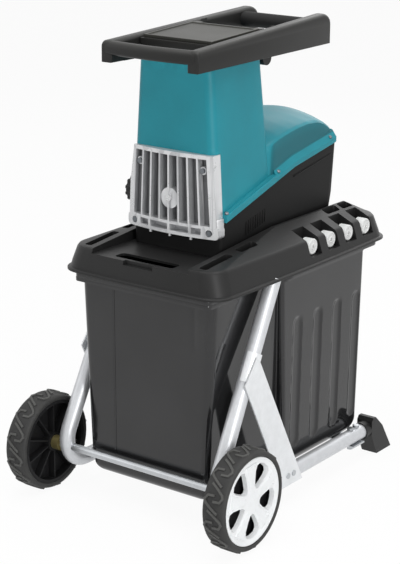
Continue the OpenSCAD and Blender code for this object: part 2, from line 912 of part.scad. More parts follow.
module motor_cover() {
    color("#2f8790") difference() {
        union() {
            intersection() {
                dome(0);
                above_seam();
            }
            seam_flange(cover_front, reach);
        }
        difference() {
            dome(-housing_wall);
            box_between([-reach, reach], [-reach, motor_room_y], [0, reach * 2]);
        }
        tower_solid(seat_gap);
        box_between([-reach, reach], [-reach, cover_front], [0, reach * 2]);
    }
}

// Screws along the top of the seam flange
module cover_screws() {
    color("#a9acae") both_sides() for (y = screw_places) {
        translate([flange_x - screw_inset, y, seam_at(y) + flange_h])
            rotate([atan(seam_at(y + 1) - seam_at(y)), 0, 0]) cylinder(d = 2 * screw_inset - 1, h = 2);
    }
}

// Front casting

module casting_outline() {
    polygon([
        [-casting_x, casting_top], [-casting_side_x, casting_flange_z], [-casting_side_x, casting_low + 8],
        [casting_side_x, casting_low + 8], [casting_side_x, casting_flange_z], [casting_x, casting_top]
    ]);
    rounded_rect(casting_low_x, casting_low, casting_flange_z, 8);
}

// Block of the casting with its bowed front
module casting_block() {
    intersection() {
        translate([0, -casting_back - seat_gap, 0]) rotate([90, 0, 0])
            linear_extrude(casting_face - casting_back) casting_outline();
        translate([0, casting_bow - casting_face, 0]) cylinder(r = casting_bow, h = 2 * reach, $fn = 180);
    }
}

// One gap between two fins; the gaps fan out towards the bottom
module fin_gap(k) {
    top = [for (side = [0, 1]) fin_at(k + side, casting_x) + (1 - 2 * side) * fin_t / 2];
    low = [for (side = [0, 1]) fin_at(k + side, casting_side_x) + (1 - 2 * side) * fin_t / 2];
    translate([0, -casting_face + fin_depth, 0]) rotate([90, 0, 0]) linear_extrude(fin_depth + 1) polygon([
        [top[0], casting_top - 8], [low[0], casting_flange_z + 1],
        [low[1], casting_flange_z + 1], [top[1], casting_top - 8]
    ]);
}

// What is taken off a sharp front edge of the casting to make it round
module edge_round(r) {
    run = casting_side_x - casting_x;
    drop = casting_top - casting_flange_z;
    translate([casting_x, casting_y(casting_x - r), casting_top])
        rotate([0, 180 - atan(run / drop), 0]) difference() {
            translate([-2, -2, -10]) cube([r + 2, r + 2, drop + 8]);
            translate([r, r, -11]) cylinder(r = r, h = drop + 10);
        }
}

module front_casting() {
    boss_y = -casting_face + 4;
    window_floor = -casting_face + 18;
    screw = casting_screw_places[0];
    color("#c3c5c7") difference() {
        union() {
            difference() {
                casting_block();
                for (k = [0 : fins]) fin_gap(k);
                both_sides() for (x = casting_windows) {
                    box_between(x, [-reach, window_floor], [casting_low + 7, casting_flange_z - 5]);
                }
            }
            along_y(boss_y, 0, roller_z) cylinder(d = bearing_d + 6, h = -casting_back - seat_gap - boss_y);
            both_sides() along_y(casting_y(screw[0]) + screw_head[1], screw[0], screw[1])
                cylinder(d = 16, h = casting_out - 10);
            for (x = [-50, 0, 50]) {
                translate([x, casting_y(x) + 5, casting_low - 6]) cylinder(d = 6, h = 8);
            }
        }
        both_sides() edge_round(14);
        along_y(bearing_y[0] - 1, 0, roller_z) cylinder(d = shaft_d + 8, h = bearing_w + 3);
        along_y(-casting_back - bearing_w, 0, roller_z)
            cylinder(d = bearing_d + 2 * run_fit, h = bearing_w + 1);
        both_sides() for (place = casting_screw_places) {
            along_y(-casting_face, place[0], place[1]) cylinder(d = 7, h = reach);
            along_y(-casting_face - 1, place[0], place[1])
                cylinder(d = 14, h = casting_y(place[0]) + casting_face + 1 + screw_head[1]);
        }
        along_y(-casting_face - 1, 0, roller_z) cylinder(d = plug_d + 2 * seat_gap, h = 8 + seat_gap);
    }
}

module casting_screws() {
    color("#8f9294") both_sides() for (place = casting_screw_places) {
        along_y(casting_y(place[0]), place[0], place[1]) {
            cylinder(d = screw_head[0], h = screw_head[1] - seat_gap);
            cylinder(d = 6, h = -casting_back - casting_y(place[0]));
        }
    }
}

module bearing_cap() {
    color("#b4b6b8") along_y(-casting_face - 1, 0, roller_z) cylinder(d = plug_d, h = 8);
}

// Top frame

module rail() {
    back = frame_back - 20;
    points = [
        [-frame_front, hopper_z], [back + 18, hopper_z], [back + 20, hopper_z + 3],
        [back + 20, rail_z(back) - 16], [back + 12, rail_z(back) - 4], [back - 6, rail_z(back)],
        [-frame_front, rail_z(-frame_front)]
    ];
    translate([frame_x, -frame_front, 0]) rotate([0, 0, rail_taper]) translate([0, frame_front, 0])
        side_profile(points, -rail_w, 0);
}

module top_frame() {
    bow_r = 700;
    inner_x = frame_x - rail_w;
    collar_top = rail_z(lid_front) + lid_up - lid_t - seat_gap;
    color("#222223") difference() {
        union() {
            both_sides() rail();
            intersection() {
                translate([0, -frame_front + bow_r - 9, hopper_z + 15]) difference() {
                    cylinder(r = bow_r, h = rail_h - 15, $fn = 180);
                    translate([0, 0, -1]) cylinder(r = bow_r - 18, h = rail_h, $fn = 180);
                }
                box_between([-frame_x + 2, frame_x - 2], [-frame_front - 12, -frame_front + 40],
                    [0, reach * 2]);
            }
            box_between([-inner_x - 4, inner_x + 4], [lid_front - 8, lid_pin_y - 9],
                [hopper_z + skin, collar_top]);
            both_sides() side_profile([
                [lid_pin_y - 10, hopper_z + skin], [lid_pin_y + 12, hopper_z + skin],
                [lid_pin_y + 8, lid_z + 7], [lid_pin_y - 8, lid_z + 7]
            ], 66, inner_x);
            both_sides() translate([hopper_x - 24, hopper_back - 3, hopper_z - 6])
                rotate([0, 90, 0]) cylinder(r = 15, h = 22);
        }
        slab(hopper_x - hopper_wall, -housing_front + hopper_wall, 1 - hopper_wall,
            hopper_z - 1, collar_top + 1, 13);
        lid_pin(lid_pin_d + 2 * run_fit, seat_gap);
        rear_bar(bar_d + 2 * seat_gap);
    }
}

module rear_bar(d) {
    half = frame_x - rail_w / 2 - (frame_front + frame_back) * tan(rail_taper);
    translate([-half, frame_back - 50, rail_z(frame_back - 50) - bar_d / 2 - 6])
        rotate([0, 90, 0]) cylinder(d = d, h = 2 * half);
}

module rear_handle() { color("#1b1b1c") rear_bar(bar_d); }

module hopper_lid() {
    half = frame_x - rail_w - 8;
    top = rail_z(lid_front) + lid_up;
    back = lid_pin_y - 10;
    rim = 2;
    drop = (back - lid_front) * tan(rail_slope);
    color("#262627") difference() {
        union() {
            difference() {
                side_profile([
                    [lid_front, top - lid_t], [back, top - lid_t + drop], [back, top + drop], [lid_front, top]
                ], -half, half);
                side_profile([
                    [lid_front + 6, top - rim + 0.3], [back - 6, top - rim + drop - 0.3],
                    [back - 6, top + drop + 4], [lid_front + 6, top + 4]
                ], -half + 6, half - 6);
            }
            translate([-64, lid_pin_y, lid_z]) rotate([0, 90, 0]) cylinder(d = lid_pin_d + 7, h = 128);
            box_between([-64, 64], [back - 3, lid_pin_y], [lid_z - 3, lid_z + 5]);
        }
        lid_pin(lid_pin_d + 2 * run_fit, 1);
    }
}

module lid_pin(d, longer) {
    half = frame_x - rail_w - 2 + longer;
    translate([-half, lid_pin_y, lid_z]) rotate([0, 90, 0]) cylinder(d = d, h = 2 * half);
}

module lid_hinge_pin() { color("#9a9d9f") lid_pin(lid_pin_d, 0); }

// Drive

module cutting_roller() {
    drum_r = roller_d / 2 - 9;
    tooth = [[drum_r - 3, -9], [drum_r - 3, 6], [roller_d / 2, 1], [roller_d / 2, -2]];
    front = -casting_back + 3;
    color("#6f7377") {
        along_y(front, 0, roller_z) {
            cylinder(r = drum_r, h = roller_l);
            for (k = [0 : roller_teeth - 1]) rotate([0, 0, k * 360 / roller_teeth])
                linear_extrude(roller_l) polygon(tooth);
        }
        along_y(bearing_y[0], 0, roller_z) cylinder(d = shaft_d, h = gear_y + gear_w + 3 - bearing_y[0]);
    }
}

module roller_bearings() {
    color("#b9bcbe") for (y = bearing_y) along_y(y, 0, roller_z) difference() {
        cylinder(d = bearing_d, h = bearing_w);
        translate([0, 0, -1]) cylinder(d = shaft_d + 2 * run_fit, h = bearing_w + 2);
    }
}

// Spur gear with straight flanks and backlash: tooth half width shrinks from root to tip
module spur_gear(teeth, phase) {
    pitch_r = gear_m * teeth / 2;
    root_r = pitch_r - 1.25 * gear_m;
    tip_r = pitch_r + 0.85 * gear_m;
    root_half = 0.95 * gear_m;
    tip_half = 0.32 * gear_m;
    cylinder(r = root_r, h = gear_w, $fn = 96);
    for (k = [0 : teeth - 1]) rotate([0, 0, (k + phase) * 360 / teeth]) linear_extrude(gear_w)
        polygon([[root_r - 1, -root_half], [tip_r, -tip_half], [tip_r, tip_half], [root_r - 1, root_half]]);
}

module roller_gear() {
    color("#7d8185") along_y(gear_y, 0, roller_z) difference() {
        spur_gear(gear_teeth, -gear_teeth / 4);
        translate([0, 0, -1]) cylinder(d = shaft_d + 2 * run_fit, h = gear_w + 2);
    }
}

module motor_rotor() {
    blades = 9;
    fan_t = 8;
    color("#8a8d91") along_y(gear_y - 2, 0, motor_z) {
        cylinder(d = motor_shaft_d, h = fan_y + fan_t - gear_y + 2);
        translate([0, 0, 2]) spur_gear(pinion_teeth, pinion_teeth / 4 + 0.5);
        translate([0, 0, fan_y - gear_y + 2]) {
            cylinder(d = motor_shaft_d + 12, h = fan_t);
            for (k = [0 : blades - 1]) rotate([0, 0, k * 360 / blades]) translate([motor_shaft_d / 2, -1, 0])
                cube([motor_d / 2 - 12, 2, fan_t]);
        }
    }
}

module motor_case() {
    color("#4a4d50") along_y(motor_y, 0, motor_z) difference() {
        cylinder(d = motor_d, h = motor_l);
        translate([0, 0, -1]) cylinder(d = motor_shaft_d + 2 * run_fit, h = motor_l + 2);
    }
}

// Steel plate across the motor room that carries the motor and closes off the gears
module gear_plate() {
    half = housing_x - housing_wall - seat_gap;
    shaft_hole = motor_shaft_d + 4;
    color("#8f9396") difference() {
        translate([0, plate_y + plate_t, 0]) rotate([90, 0, 0]) linear_extrude(plate_t) {
            translate([-half, floor_z + housing_wall]) square([2 * half, gear_plate_h]);
            translate([0, motor_z]) circle(d = motor_d - 14);
        }
        along_y(plate_y - 1, 0, motor_z) cylinder(d = shaft_hole, h = plate_t + 2);
    }
}

// Hardened plate beside the roller, moved by the spindle of the knob
module counter_plate() {
    color("#5f6367") difference() {
        box_between(plate_x, [-casting_back + 6, chamber_back - 6], plate_z);
        translate([plate_x[0] - 1, knob_y, knob_z])
            rotate([0, 90, 0]) cylinder(d = spindle_d + 2 * run_fit, h = 15);
    }
}

module adjusting_knob() {
    grips = 12;
    knob_in = flange_x + 4;
    stem = knob_in + plate_x[0] + 12;
    color("#1f1f20") translate([-knob_in, knob_y, knob_z]) rotate([0, -90, 0]) {
        difference() {
            cylinder(d = knob_d, h = knob_t, $fn = 72);
            for (k = [0 : grips - 1]) rotate([0, 0, k * 360 / grips])
                translate([knob_d / 2 + 3, 0, 4]) cylinder(d = 12, h = knob_t);
        }
        translate([0, 0, -stem]) cylinder(d = spindle_d, h = stem + 1);
    }
}

// Controls on the rear of the lower housing

module at_switch() {
    translate([0, switch_y, switch_z]) children();
}

module at_button(x) {
    at_switch() translate([x, 0, 8]) rotate([-90, 0, 0]) children();
}

module switch_plate() {
    color("#2d2d2f") difference() {
        at_switch() box_between(
            [-switch_w / 2 + seat_gap, switch_w / 2 - seat_gap], [-switch_t + skin, 2],
            [-switch_h / 2 + seat_gap, switch_h / 2 - seat_gap]
        );
        for (x = [-38, -8]) at_button(x) translate([0, 0, -9]) cylinder(d = button_d + 2 * seat_gap, h = 20);
        at_button(36) translate([0, 0, -3]) cylinder(d = 10 + 2 * run_fit, h = 20);
    }
}

module push_button() {
    translate([0, 0, -switch_t + button_travel + 1]) cylinder(d = button_d, h = 12);
}

module start_button() { color("#3f8f4f") at_button(-38) push_button(); }
module stop_button() { color("#b3312c") at_button(-8) push_button(); }

module direction_selector() {
    color("#3a3a3c") at_button(36) {
        translate([0, 0, -3]) cylinder(d = 10, h = 6);
        translate([0, 0, 2 + seat_gap]) cylinder(d = selector_d, h = 6);
        translate([-selector_d / 2 + 1, -3, 8]) cube([selector_d - 2, 6, 8]);
    }
}

module at_inlet() {
    at_switch() translate([0, -6, -62]) children();
}

module inlet_block(grow, front) {
    box_between([-24 - grow, 24 + grow], [-4, front], [-18 - grow, 18 + grow]);
}

module power_inlet() {
    color("#2a2a2b") at_inlet() difference() {
        inlet_block(0, 6);
        box_between([-18, 18], [-1, 7], [-12, 12]);
    }
}

left_tyre();
right_tyre();
left_wheel_core();
right_wheel_core();
left_hub_cap();
right_hub_cap();
axle();
axle_bushes();
axle_clips();
left_side_tube();
right_side_tube();
left_brace();
right_brace();
brace_rivets();
left_foot();
right_foot();
front_cross_strap();
rear_cross_strap();
strap_bolts();
deck();
shoulder_discs();
collecting_box();
lower_housing();
hopper();
motor_cover();
cover_screws();
front_casting();
casting_screws();
bearing_cap();
top_frame();
rear_handle();
hopper_lid();
lid_hinge_pin();
cutting_roller();
roller_bearings();
roller_gear();
motor_rotor();
motor_case();
gear_plate();
counter_plate();
adjusting_knob();
switch_plate();
start_button();
stop_button();
direction_selector();
power_inlet();
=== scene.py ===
"""Looks of a garden shredder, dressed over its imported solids.

The front, with the wheels and the finned casting, is -Y. Sizes in this file are in millimetres
and become metres when a mesh is made. The studio's lamps and camera stand in metres.
"""

import math

import bmesh
import bpy
from mathutils import Matrix, Vector


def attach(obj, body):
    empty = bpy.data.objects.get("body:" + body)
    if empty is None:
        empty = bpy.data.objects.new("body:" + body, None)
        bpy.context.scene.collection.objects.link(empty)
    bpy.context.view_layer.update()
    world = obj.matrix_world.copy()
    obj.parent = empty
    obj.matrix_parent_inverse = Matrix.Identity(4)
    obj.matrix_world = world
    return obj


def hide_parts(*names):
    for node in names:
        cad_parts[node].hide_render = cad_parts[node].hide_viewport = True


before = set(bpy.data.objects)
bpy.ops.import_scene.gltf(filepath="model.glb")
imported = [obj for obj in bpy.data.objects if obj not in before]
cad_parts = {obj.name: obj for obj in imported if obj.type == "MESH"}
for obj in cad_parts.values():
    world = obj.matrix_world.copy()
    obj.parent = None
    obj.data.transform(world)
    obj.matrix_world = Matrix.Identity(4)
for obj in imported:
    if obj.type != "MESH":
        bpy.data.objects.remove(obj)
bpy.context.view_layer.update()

MM = 0.001
SIDES = ((1, "right"), (-1, "left"))
# Ends of cutters, well outside the object
BEYOND = 500
ABOVE = 700

WHEEL_R = 103
RIM_R = 89
TYRE_IN = 225
TYRE_W = 52
TYRE_HALF = TYRE_W / 2
AXLE_Y = -262
AXLE_Z = 103
TREAD_UNITS = 12
TREAD_START = 0.35
TREAD_BAR_HALF = 3.2
TREAD_FOOT_R = WHEEL_R - 4.95
TREAD_TOP_R = WHEEL_R - 0.05
# The tread is flat this far from its middle, and falls off by the square beyond
TREAD_FLAT = 19
TREAD_FALL = 0.06
SPOKES = 5
CAP_TURN = math.radians(-15)

DECK_X = 204
DECK_FRONT = -278
DECK_REAR = 357
DECK_Z = 485
DECK_FLOOR = 530
DECK_BOW = 5
RECESS_X = 119
CHUTE_X = (-78, 46)
CHUTE_Y = (-133, 4)
SCOOP_X = (-37, 35)
# Slots in the deck's side bands: distance from the middle, front end and rear end
BAND_SLOTS = [(142, -250, -160), (142, -134, -77), (131, 192, 242), (131, 252, 293)]
NOTCH_Z = 505
NOTCH_IN = 146
NOTCH_W = 42
NOTCH_AT = [46, 114, 182, 250]
DISC_UP = 17.3

BOX_Z = 52.3
BOX_R = 22
BOX_RIM = 465.5
BOX_TOP = 483.5
BOX_WALL = 2.6
# Half width in front, front, front corner, step of the side, half width and rear of the box, each
# at its foot and at its rim
BOX_TAPER = [(147, 165), (-243, -247), (14, 18), (0, -28), (168, 176), (262, 264)]
BOX_HEEL = 23
BOX_HEEL_H = 28
# How far the front is pressed in above the bottom, by height
BOX_TOE = [(88, 5), (92, 4.25), (96, 1.5), (100, 0)]
# Fine upright lines on the front of the box: place, lower end and depth
PANEL_LINES = [(-80, 96, 1.1), (121, 372, 1)]
PANEL_LINE_TOP = 462
PANEL_LINE_HALF = 1.5
FLUTE_AT = [36, 111, 186, 261]
FLUTE_HALF = 17
FLUTE_LOW = 92
FLUTE_HIGH = 380
FLUTE_DEEP = 3.6

TUBE_R = 16
TUBE_X = 194
TUBE_Z = 61
TUBE_REAR = 288
BEND_R = 56
LEG_LEAN = math.radians(1)
LEG_SLOPE = math.radians(62.2)

# Height of the seam between the lower and the upper shells, from front to rear
SEAM = [(-146, 600), (100, 672), (290, 704)]
HOPPER_TOP = 907
HOPPER_FOOT = 594
HOPPER_FRONT = -157
HOPPER_R = 18
# Half width and rear of the hopper, at its foot and at its top
HOPPER_X = (108, 88)
HOPPER_REAR = (41, 20)
# Mouth of the hopper at its top and deep inside: half width, front, rear and corner
MOUTH = (83, -141, -4, 14)
MOUTH_DEEP = (76, -135, 4, 9)
CASTING_BACK = -137
CASTING_TOP = 737.3
FLANGE_X = 117
FLANGE_BACK = 265
FLANGE_R = 14
# Sections of the seam flange on the hopper and on the motor cover: how far inside the outer
# face, and how far above the seam
HOPPER_FLANGE = [
    (13, 0), (0.6, 0), (0, 0.7), (0, 13.2), (0.5, 14.4), (1.8, 14.9), (5.4, 15), (6, 14.2),
    (7.2, 14.2), (7.8, 15.2), (13, 15.6),
]
COVER_FLANGE = [
    (13, 0), (0.6, 0), (0, 0.7), (0, 9.4), (0.5, 10.8), (1.6, 12.4), (8, 23.4), (9, 24.6),
    (13, 25.4),
]
COVER_FRONT = 34
COVER_BACK = 257
COVER_X = 108.4
COVER_LEAN = 2.5
COVER_CORNER = 13
COVER_WALL = 4
DOME_FRONT = 14
# Half width of the motor cover, height of its eave and height of its crown, from front to rear
COVER_SIDE = [(DOME_FRONT, 97), (20, 101), (26, 106), (32, COVER_X)]
EAVE = [
    (12, 719), (20, 722), (38, 731), (56, 737), (98, 745.5), (128, 750), (165, 752.5), (200, 750.5),
    (225, 742), (240, 733), (250, 727), (257, 723.5),
]
CROWN = [
    (12, 748), (26, 754), (60, 760), (98, 764), (130, 765.5), (157, 767), (190, 768.5), (205, 768.5),
    (218, 767), (236, 760), (248, 750), (254, 740.5), (257, 730),
]
SCREWS_AT = [-132, 45, 236]
SCREW_UP = 16.4
SCREW_TILT = 0.55
LEDGE_X = 114.2
LEDGE_DOWN = 20
LEDGE_R = 1.5
VENT_RIBS = 9
VENT_STEP = 8
VENT_AT = (111.2, -62, 576)
VENT_RISE = 0.22

RAIL_X = 117
RAIL_W = 26
RAIL_H = 42
RAIL_FRONT = -232
RAIL_REAR = 242
RAIL_LOW = 907
RAIL_RISE = math.tan(math.radians(2.7))
RAIL_TAPER = math.tan(math.radians(1.57))
RAIL_NOSE = 8
RAIL_TAIL = (26, 18)
BAR_HALF = 108
BAR_OUT = 9
BAR_BOW = 700

# The camera fitted to the photograph, whose height and focal length are in pixels
CAMERA_AT = (1.97474, -2.71539, 1.44577)
CAMERA_TO = (0, -0.012, 0.48)
CAMERA_ROLL = math.radians(0.42)
CAMERA_SHIFT = (-0.0282, -0.0395)
SENSOR = 36
PICTURE_HEIGHT = 564
FOCAL_LENGTH = 1691.66
FLOOR_Z = -0.6
FLOOR_WHITE = 0.94
SOFT_LIGHT = 0.34
WHITE = (1.0, 1.0, 1.0, 1.0)


# Shader sums and finishes


def sums(operation):
    """The two methods of an operator: its plain form and its reflected one."""
    def plain(self, other):
        return self.nodes.math(operation, self, other)

    def reflected(self, other):
        return self.nodes.math(operation, other, self)

    return plain, reflected


class Field:
    """One shader value; Python sums on it add Math nodes to the tree it belongs to."""

    __add__, __radd__ = sums("ADD")
    __sub__, __rsub__ = sums("SUBTRACT")
    __mul__, __rmul__ = sums("MULTIPLY")
    __pow__, __rpow__ = sums("POWER")

    def __init__(self, nodes, socket):
        self.nodes = nodes
        self.socket = socket

    def over(self, low, high):
        """0 below low, 1 above high, smooth in between."""
        settings = {"interpolation_type": "SMOOTHSTEP"}
        sockets = {"Value": self, "From Min": low, "From Max": high}
        return self.nodes.field("ShaderNodeMapRange", settings, sockets, "Result")

    def past(self, low, high):
        """The same for a place, with its two ends in millimetres."""
        return self.over(low * MM, high * MM)


class Nodes:
    """A node tree that is built anew."""

    def __init__(self, tree):
        self.tree = tree
        tree.nodes.clear()

    def node(self, kind, settings, sockets):
        """Any node: its settings first, then the values or links of its sockets."""
        made = self.tree.nodes.new(kind)
        for key, value in settings.items():
            setattr(made, key, value)
        for key, value in sockets.items():
            if isinstance(value, Field):
                value = value.socket
            if isinstance(value, bpy.types.NodeSocket):
                self.tree.links.new(value, made.inputs[key])
            else:
                made.inputs[key].default_value = value
        return made

    def field(self, kind, settings, sockets, output=0):
        return Field(self, self.node(kind, settings, sockets).outputs[output])

    def math(self, operation, first, second):
        return self.field("ShaderNodeMath", {"operation": operation}, {0: first, 1: second})


class Finish(Nodes):
    """A procedural material: a Principled shader with fields for what changes over the surface."""

    def __init__(self, name, **constants):
        self.material = bpy.data.materials.new(name)
        self.material.use_nodes = True
        super().__init__(self.material.node_tree)
        sockets = {key.replace("_", " "): value for key, value in constants.items()}
        self.shader = self.node("ShaderNodeBsdfPrincipled", {}, sockets)
        self.node("ShaderNodeOutputMaterial", {}, {"Surface": self.shader.outputs["BSDF"]})
        self.place = self.field("ShaderNodeTexCoord", {}, {}, "Object")

    def along(self, axis):
        """The place along one axis, in metres."""
        return self.field("ShaderNodeSeparateXYZ", {}, {"Vector": self.place}, axis)

    def off_middle(self):
        """How far to either side of the object's middle, in metres."""
        return (self.along("X") ** 2.0) ** 0.5

    def stretched(self, x, y, z):
        return self.field("ShaderNodeMapping", {}, {"Vector": self.place, "Scale": (x, y, z)})

    def noise(self, scale, detail, rough=0.55, at=None):
        sockets = {"Vector": at or self.place, "Scale": scale, "Detail": detail, "Roughness": rough}
        return self.field("ShaderNodeTexNoise", {}, sockets)

    def cells(self, scale):
        sockets = {"Vector": self.place, "Scale": scale}
        return self.field("ShaderNodeTexVoronoi", {"feature": "F1"}, sockets, "Distance")

    def edges(self):
        """About 0.5 on flat faces, more on edges that stand out."""
        return self.field("ShaderNodeNewGeometry", {}, {}, "Pointiness")

    def mix(self, factor, first, second):
        return self.field("ShaderNodeMix", {"data_type": "RGBA"}, {0: factor, 6: first, 7: second}, 2)

    def drive(self, socket, field):
        self.tree.links.new(field.socket, self.shader.inputs[socket])

    def complete(self, body, rough, height, strength, depth):
        """Connect the colour, the roughness and the relief, and hand over the material."""
        self.drive("Base Color", body)
        self.drive("Roughness", rough)
        sockets = {"Height": height, "Strength": strength, "Distance": depth * MM}
        self.drive("Normal", self.field("ShaderNodeBump", {}, sockets, "Normal"))
        return self.material


def paint(red, green, blue):
    """A colour as it reads on screen, 0 to 255, as the shader's own numbers."""
    def straight(value):
        share = value / 255
        if share <= 0.04045:
            return share / 12.92
        return ((share + 0.055) / 1.055) ** 2.4
    return (straight(red), straight(green), straight(blue), 1.0)


def shade(colour, share):
    return (colour[0] * share, colour[1] * share, colour[2] * share, 1.0)


def painted_wall_shade(finish, body, colour):
    """Painted shade: the motor cover's walls under the eave are painted darker than its roof and flange."""
    across = finish.off_middle()
    under_eave = across.past(COVER_X - 4.6, COVER_X - 1.4)
    on_flange = across.past(COVER_X + 0.6, COVER_X + 1.6)
    return finish.mix(under_eave * (1 - on_flange) * 0.95, body, shade(colour, 0.5))


def painted_top_highlight(finish, body, colour):
    """Painted highlight: the upper faces of the rails and of the front bar are painted paler where the light
    from above falls on them.
    """
    level = (RAIL_LOW + RAIL_H - RAIL_FRONT * RAIL_RISE) * MM
    above = finish.along("Z") - finish.along("Y") * RAIL_RISE - level
    return finish.mix(above.past(-9.0, -1.0) * 0.8, body, shade(colour, 2.6))


def moulded(name, colour, rough, grain, depth, shine=0.5, wear_and_sheen=0.0, painted_light=None):
    """Moulded plastic: a fine spark-eroded grain, faint flow clouds, and paler edges that are partly rubbed
    wear and partly a painted highlight.
    """
    finish = Finish(name, Specular_IOR_Level=shine)
    clouds = finish.noise(9.0, 4.0)
    specks = finish.noise(grain, 2.0, 0.7)
    tone = clouds * 0.6 + specks * 0.4
    body = finish.mix(tone.over(0.25, 0.75), shade(colour, 0.88), shade(colour, 1.12))
    if wear_and_sheen:
        # Paler edges: rubbed wear on the black parts, a painted highlight along the edges of the teal
        # shells.
        rub = finish.edges().over(0.52, 0.62) * finish.noise(60.0, 4.0).over(0.35, 0.7) * wear_and_sheen
        body = finish.mix(rub, body, shade(colour, 2.2))
    # Painted light given by the caller: painted shade on the cover's walls, painted highlight on the rails'
    # tops.
    if painted_light:
        body = painted_light(finish, body, colour)
    rough = rough + (clouds - 0.5) * 0.16 + (specks - 0.5) * 0.1
    return finish.complete(body, rough, specks, 0.35, depth)


def drawn_metal(name, colour, rough, metallic, along, dents):
    """Painted or bare metal with fine lines along one direction and soft handling marks."""
    finish = Finish(name, Metallic=metallic)
    lines = finish.noise(1.0, 3.0, 0.6, at=finish.stretched(*along))
    marks = finish.noise(38.0, 5.0, 0.65)
    body = finish.mix(marks.over(0.3, 0.8), shade(colour, 0.94), shade(colour, 1.05))
    rough = rough + (lines - 0.5) * 0.12 + (marks - 0.5) * 0.12
    return finish.complete(body, rough, lines * 0.7 + marks * dents, 0.12, 0.08)


def cast_metal(name, colour, rough, metallic):
    """Die-cast aluminium: pebbled skin, painted shade on the floor of the hollows between the fins, bright
    rubbed edges.
    """
    finish = Finish(name)
    pebbles = finish.cells(900.0)
    skin = finish.noise(520.0, 3.0, 0.7)
    stain = finish.noise(24.0, 5.0, 0.65)
    rub = finish.edges().over(0.5, 0.6)
    on_sides = finish.off_middle().past(93.0, 97.0)
    # Painted shade: the floor of the hollows is painted dark grey and made less metallic.
    hollow = finish.along("Y").past(-154.5, -150.8) * (1 - on_sides)
    body = finish.mix(stain.over(0.3, 0.75), shade(colour, 0.86), shade(colour, 1.06))
    body = finish.mix(rub * 0.6, body, paint(228, 229, 230))
    body = finish.mix(hollow * 0.85, body, paint(96, 97, 99))
    finish.drive("Metallic", metallic * (1 - hollow))
    rough = rough + (stain - 0.5) * 0.2 + (skin - 0.5) * 0.12 - rub * 0.1 + hollow * 0.2
    return finish.complete(body, rough, pebbles * 0.5 + skin, 0.3, 0.12)


def tread_rubber(name):
    """Dull rubber, paler on the outermost faces of the tread's bars than in the grooves."""
    finish = Finish(name, Specular_IOR_Level=0.35)
    grain = finish.noise(700.0, 3.0, 0.7)
    bloom = finish.noise(30.0, 5.0, 0.65)
    rub = finish.edges().over(0.5, 0.62)
    behind = finish.along("Y") - AXLE_Y * MM
    above = finish.along("Z") - AXLE_Z * MM
    from_axle = (behind ** 2.0 + above ** 2.0) ** 0.5
    # The outermost faces of the bars are paler than the grooves.
    outer_pale = from_axle.past(WHEEL_R - 2.2, WHEEL_R - 0.6)
    body = finish.mix(bloom.over(0.3, 0.8), paint(39, 39, 39), paint(51, 51, 50))
    body = finish.mix(outer_pale * 0.6, body, paint(80, 80, 78))
    body = finish.mix(rub * 0.3, body, paint(96, 96, 94))
    rough = 0.66 + (bloom - 0.5) * 0.2 + (grain - 0.5) * 0.15
    return finish.complete(body, rough, grain, 0.4, 0.2)


def glossy_bin(name):
    """Glossy black plastic of the collecting box: a little wavy, with hairline handling marks."""
    finish = Finish(name, IOR=1.5)
    waves = finish.noise(7.0, 2.0, 0.5)
    hairs = finish.noise(1.0, 4.0, 0.7, at=finish.stretched(30.0, 30.0, 420.0))
    specks = finish.noise(850.0, 2.0, 0.6)
    body = finish.mix(waves.over(0.3, 0.7), paint(28, 28, 29), paint(34, 34, 35))
    rough = 0.08 + hairs.over(0.5, 0.85) * 0.06 + (specks - 0.5) * 0.03
    return finish.complete(body, rough, waves * 4.0 + specks * 0.05, 0.25, 0.35)


# Both teal shells carry a painted highlight along their edges; the cover also has a painted shade on its
# walls.
TEAL_PAINT = paint(31, 127, 140)
TEAL = moulded("teal_moulding", TEAL_PAINT, 0.4, 900.0, 0.09, 0.25, 0.3)
# The cover's walls get a painted shade.
COVER_TEAL = moulded("teal_cover_moulding", TEAL_PAINT, 0.4, 900.0, 0.09, 0.25, 0.3, painted_wall_shade)
LID_BLACK = moulded("grey_lid_moulding", paint(50, 50, 46), 0.42, 760.0, 0.14, 0.24, 0.2)
# The rails carry a painted highlight on their upper faces.
RAIL_BLACK = moulded("black_rail_moulding", paint(31, 31, 30), 0.4, 760.0, 0.14, 0.24, 0.25, painted_top_highlight)
BLACK = moulded("black_grained_moulding", paint(31, 31, 31), 0.42, 760.0, 0.14, 0.24, 0.2)
TUB_BLACK = moulded("black_tub_moulding", paint(27, 27, 27), 0.46, 760.0, 0.14, 0.1, 0.1)
DARK = moulded("dark_inner_moulding", paint(28, 28, 29), 0.55, 700.0, 0.12, 0.14)
GRIP = moulded("soft_black_grip", paint(34, 34, 34), 0.6, 620.0, 0.2, 0.16)
BOX_BLACK = glossy_bin("glossy_box_black")
RUBBER = tread_rubber("tread_rubber")
PALE = moulded("pale_cap_moulding", paint(226, 228, 229), 0.36, 800.0, 0.05)
DISC_GREY = moulded("pale_disc_moulding", paint(212, 213, 212), 0.42, 800.0, 0.06)
TUBE_SILVER = drawn_metal("silver_tube_paint", paint(205, 207, 210), 0.4, 0.45, (900, 60, 900), 0.3)
BRACE_SILVER = drawn_metal("pale_brace_paint", paint(226, 228, 230), 0.36, 0.35, (700, 90, 40), 0.6)
STRAP_STEEL = drawn_metal("zinc_strap", paint(186, 189, 192), 0.3, 0.95, (40, 900, 900), 0.6)
STEEL = drawn_metal("bare_steel", paint(172, 175, 178), 0.28, 1.0, (500, 500, 500), 0.5)
TOOL_STEEL = drawn_metal("hardened_steel", paint(112, 116, 120), 0.36, 1.0, (600, 60, 600), 0.8)
MOTOR_STEEL = drawn_metal("motor_case_paint", paint(84, 88, 92), 0.42, 0.7, (300, 60, 300), 0.8)
CAST = cast_metal("cast_aluminium", paint(180, 181, 183), 0.4, 0.5)
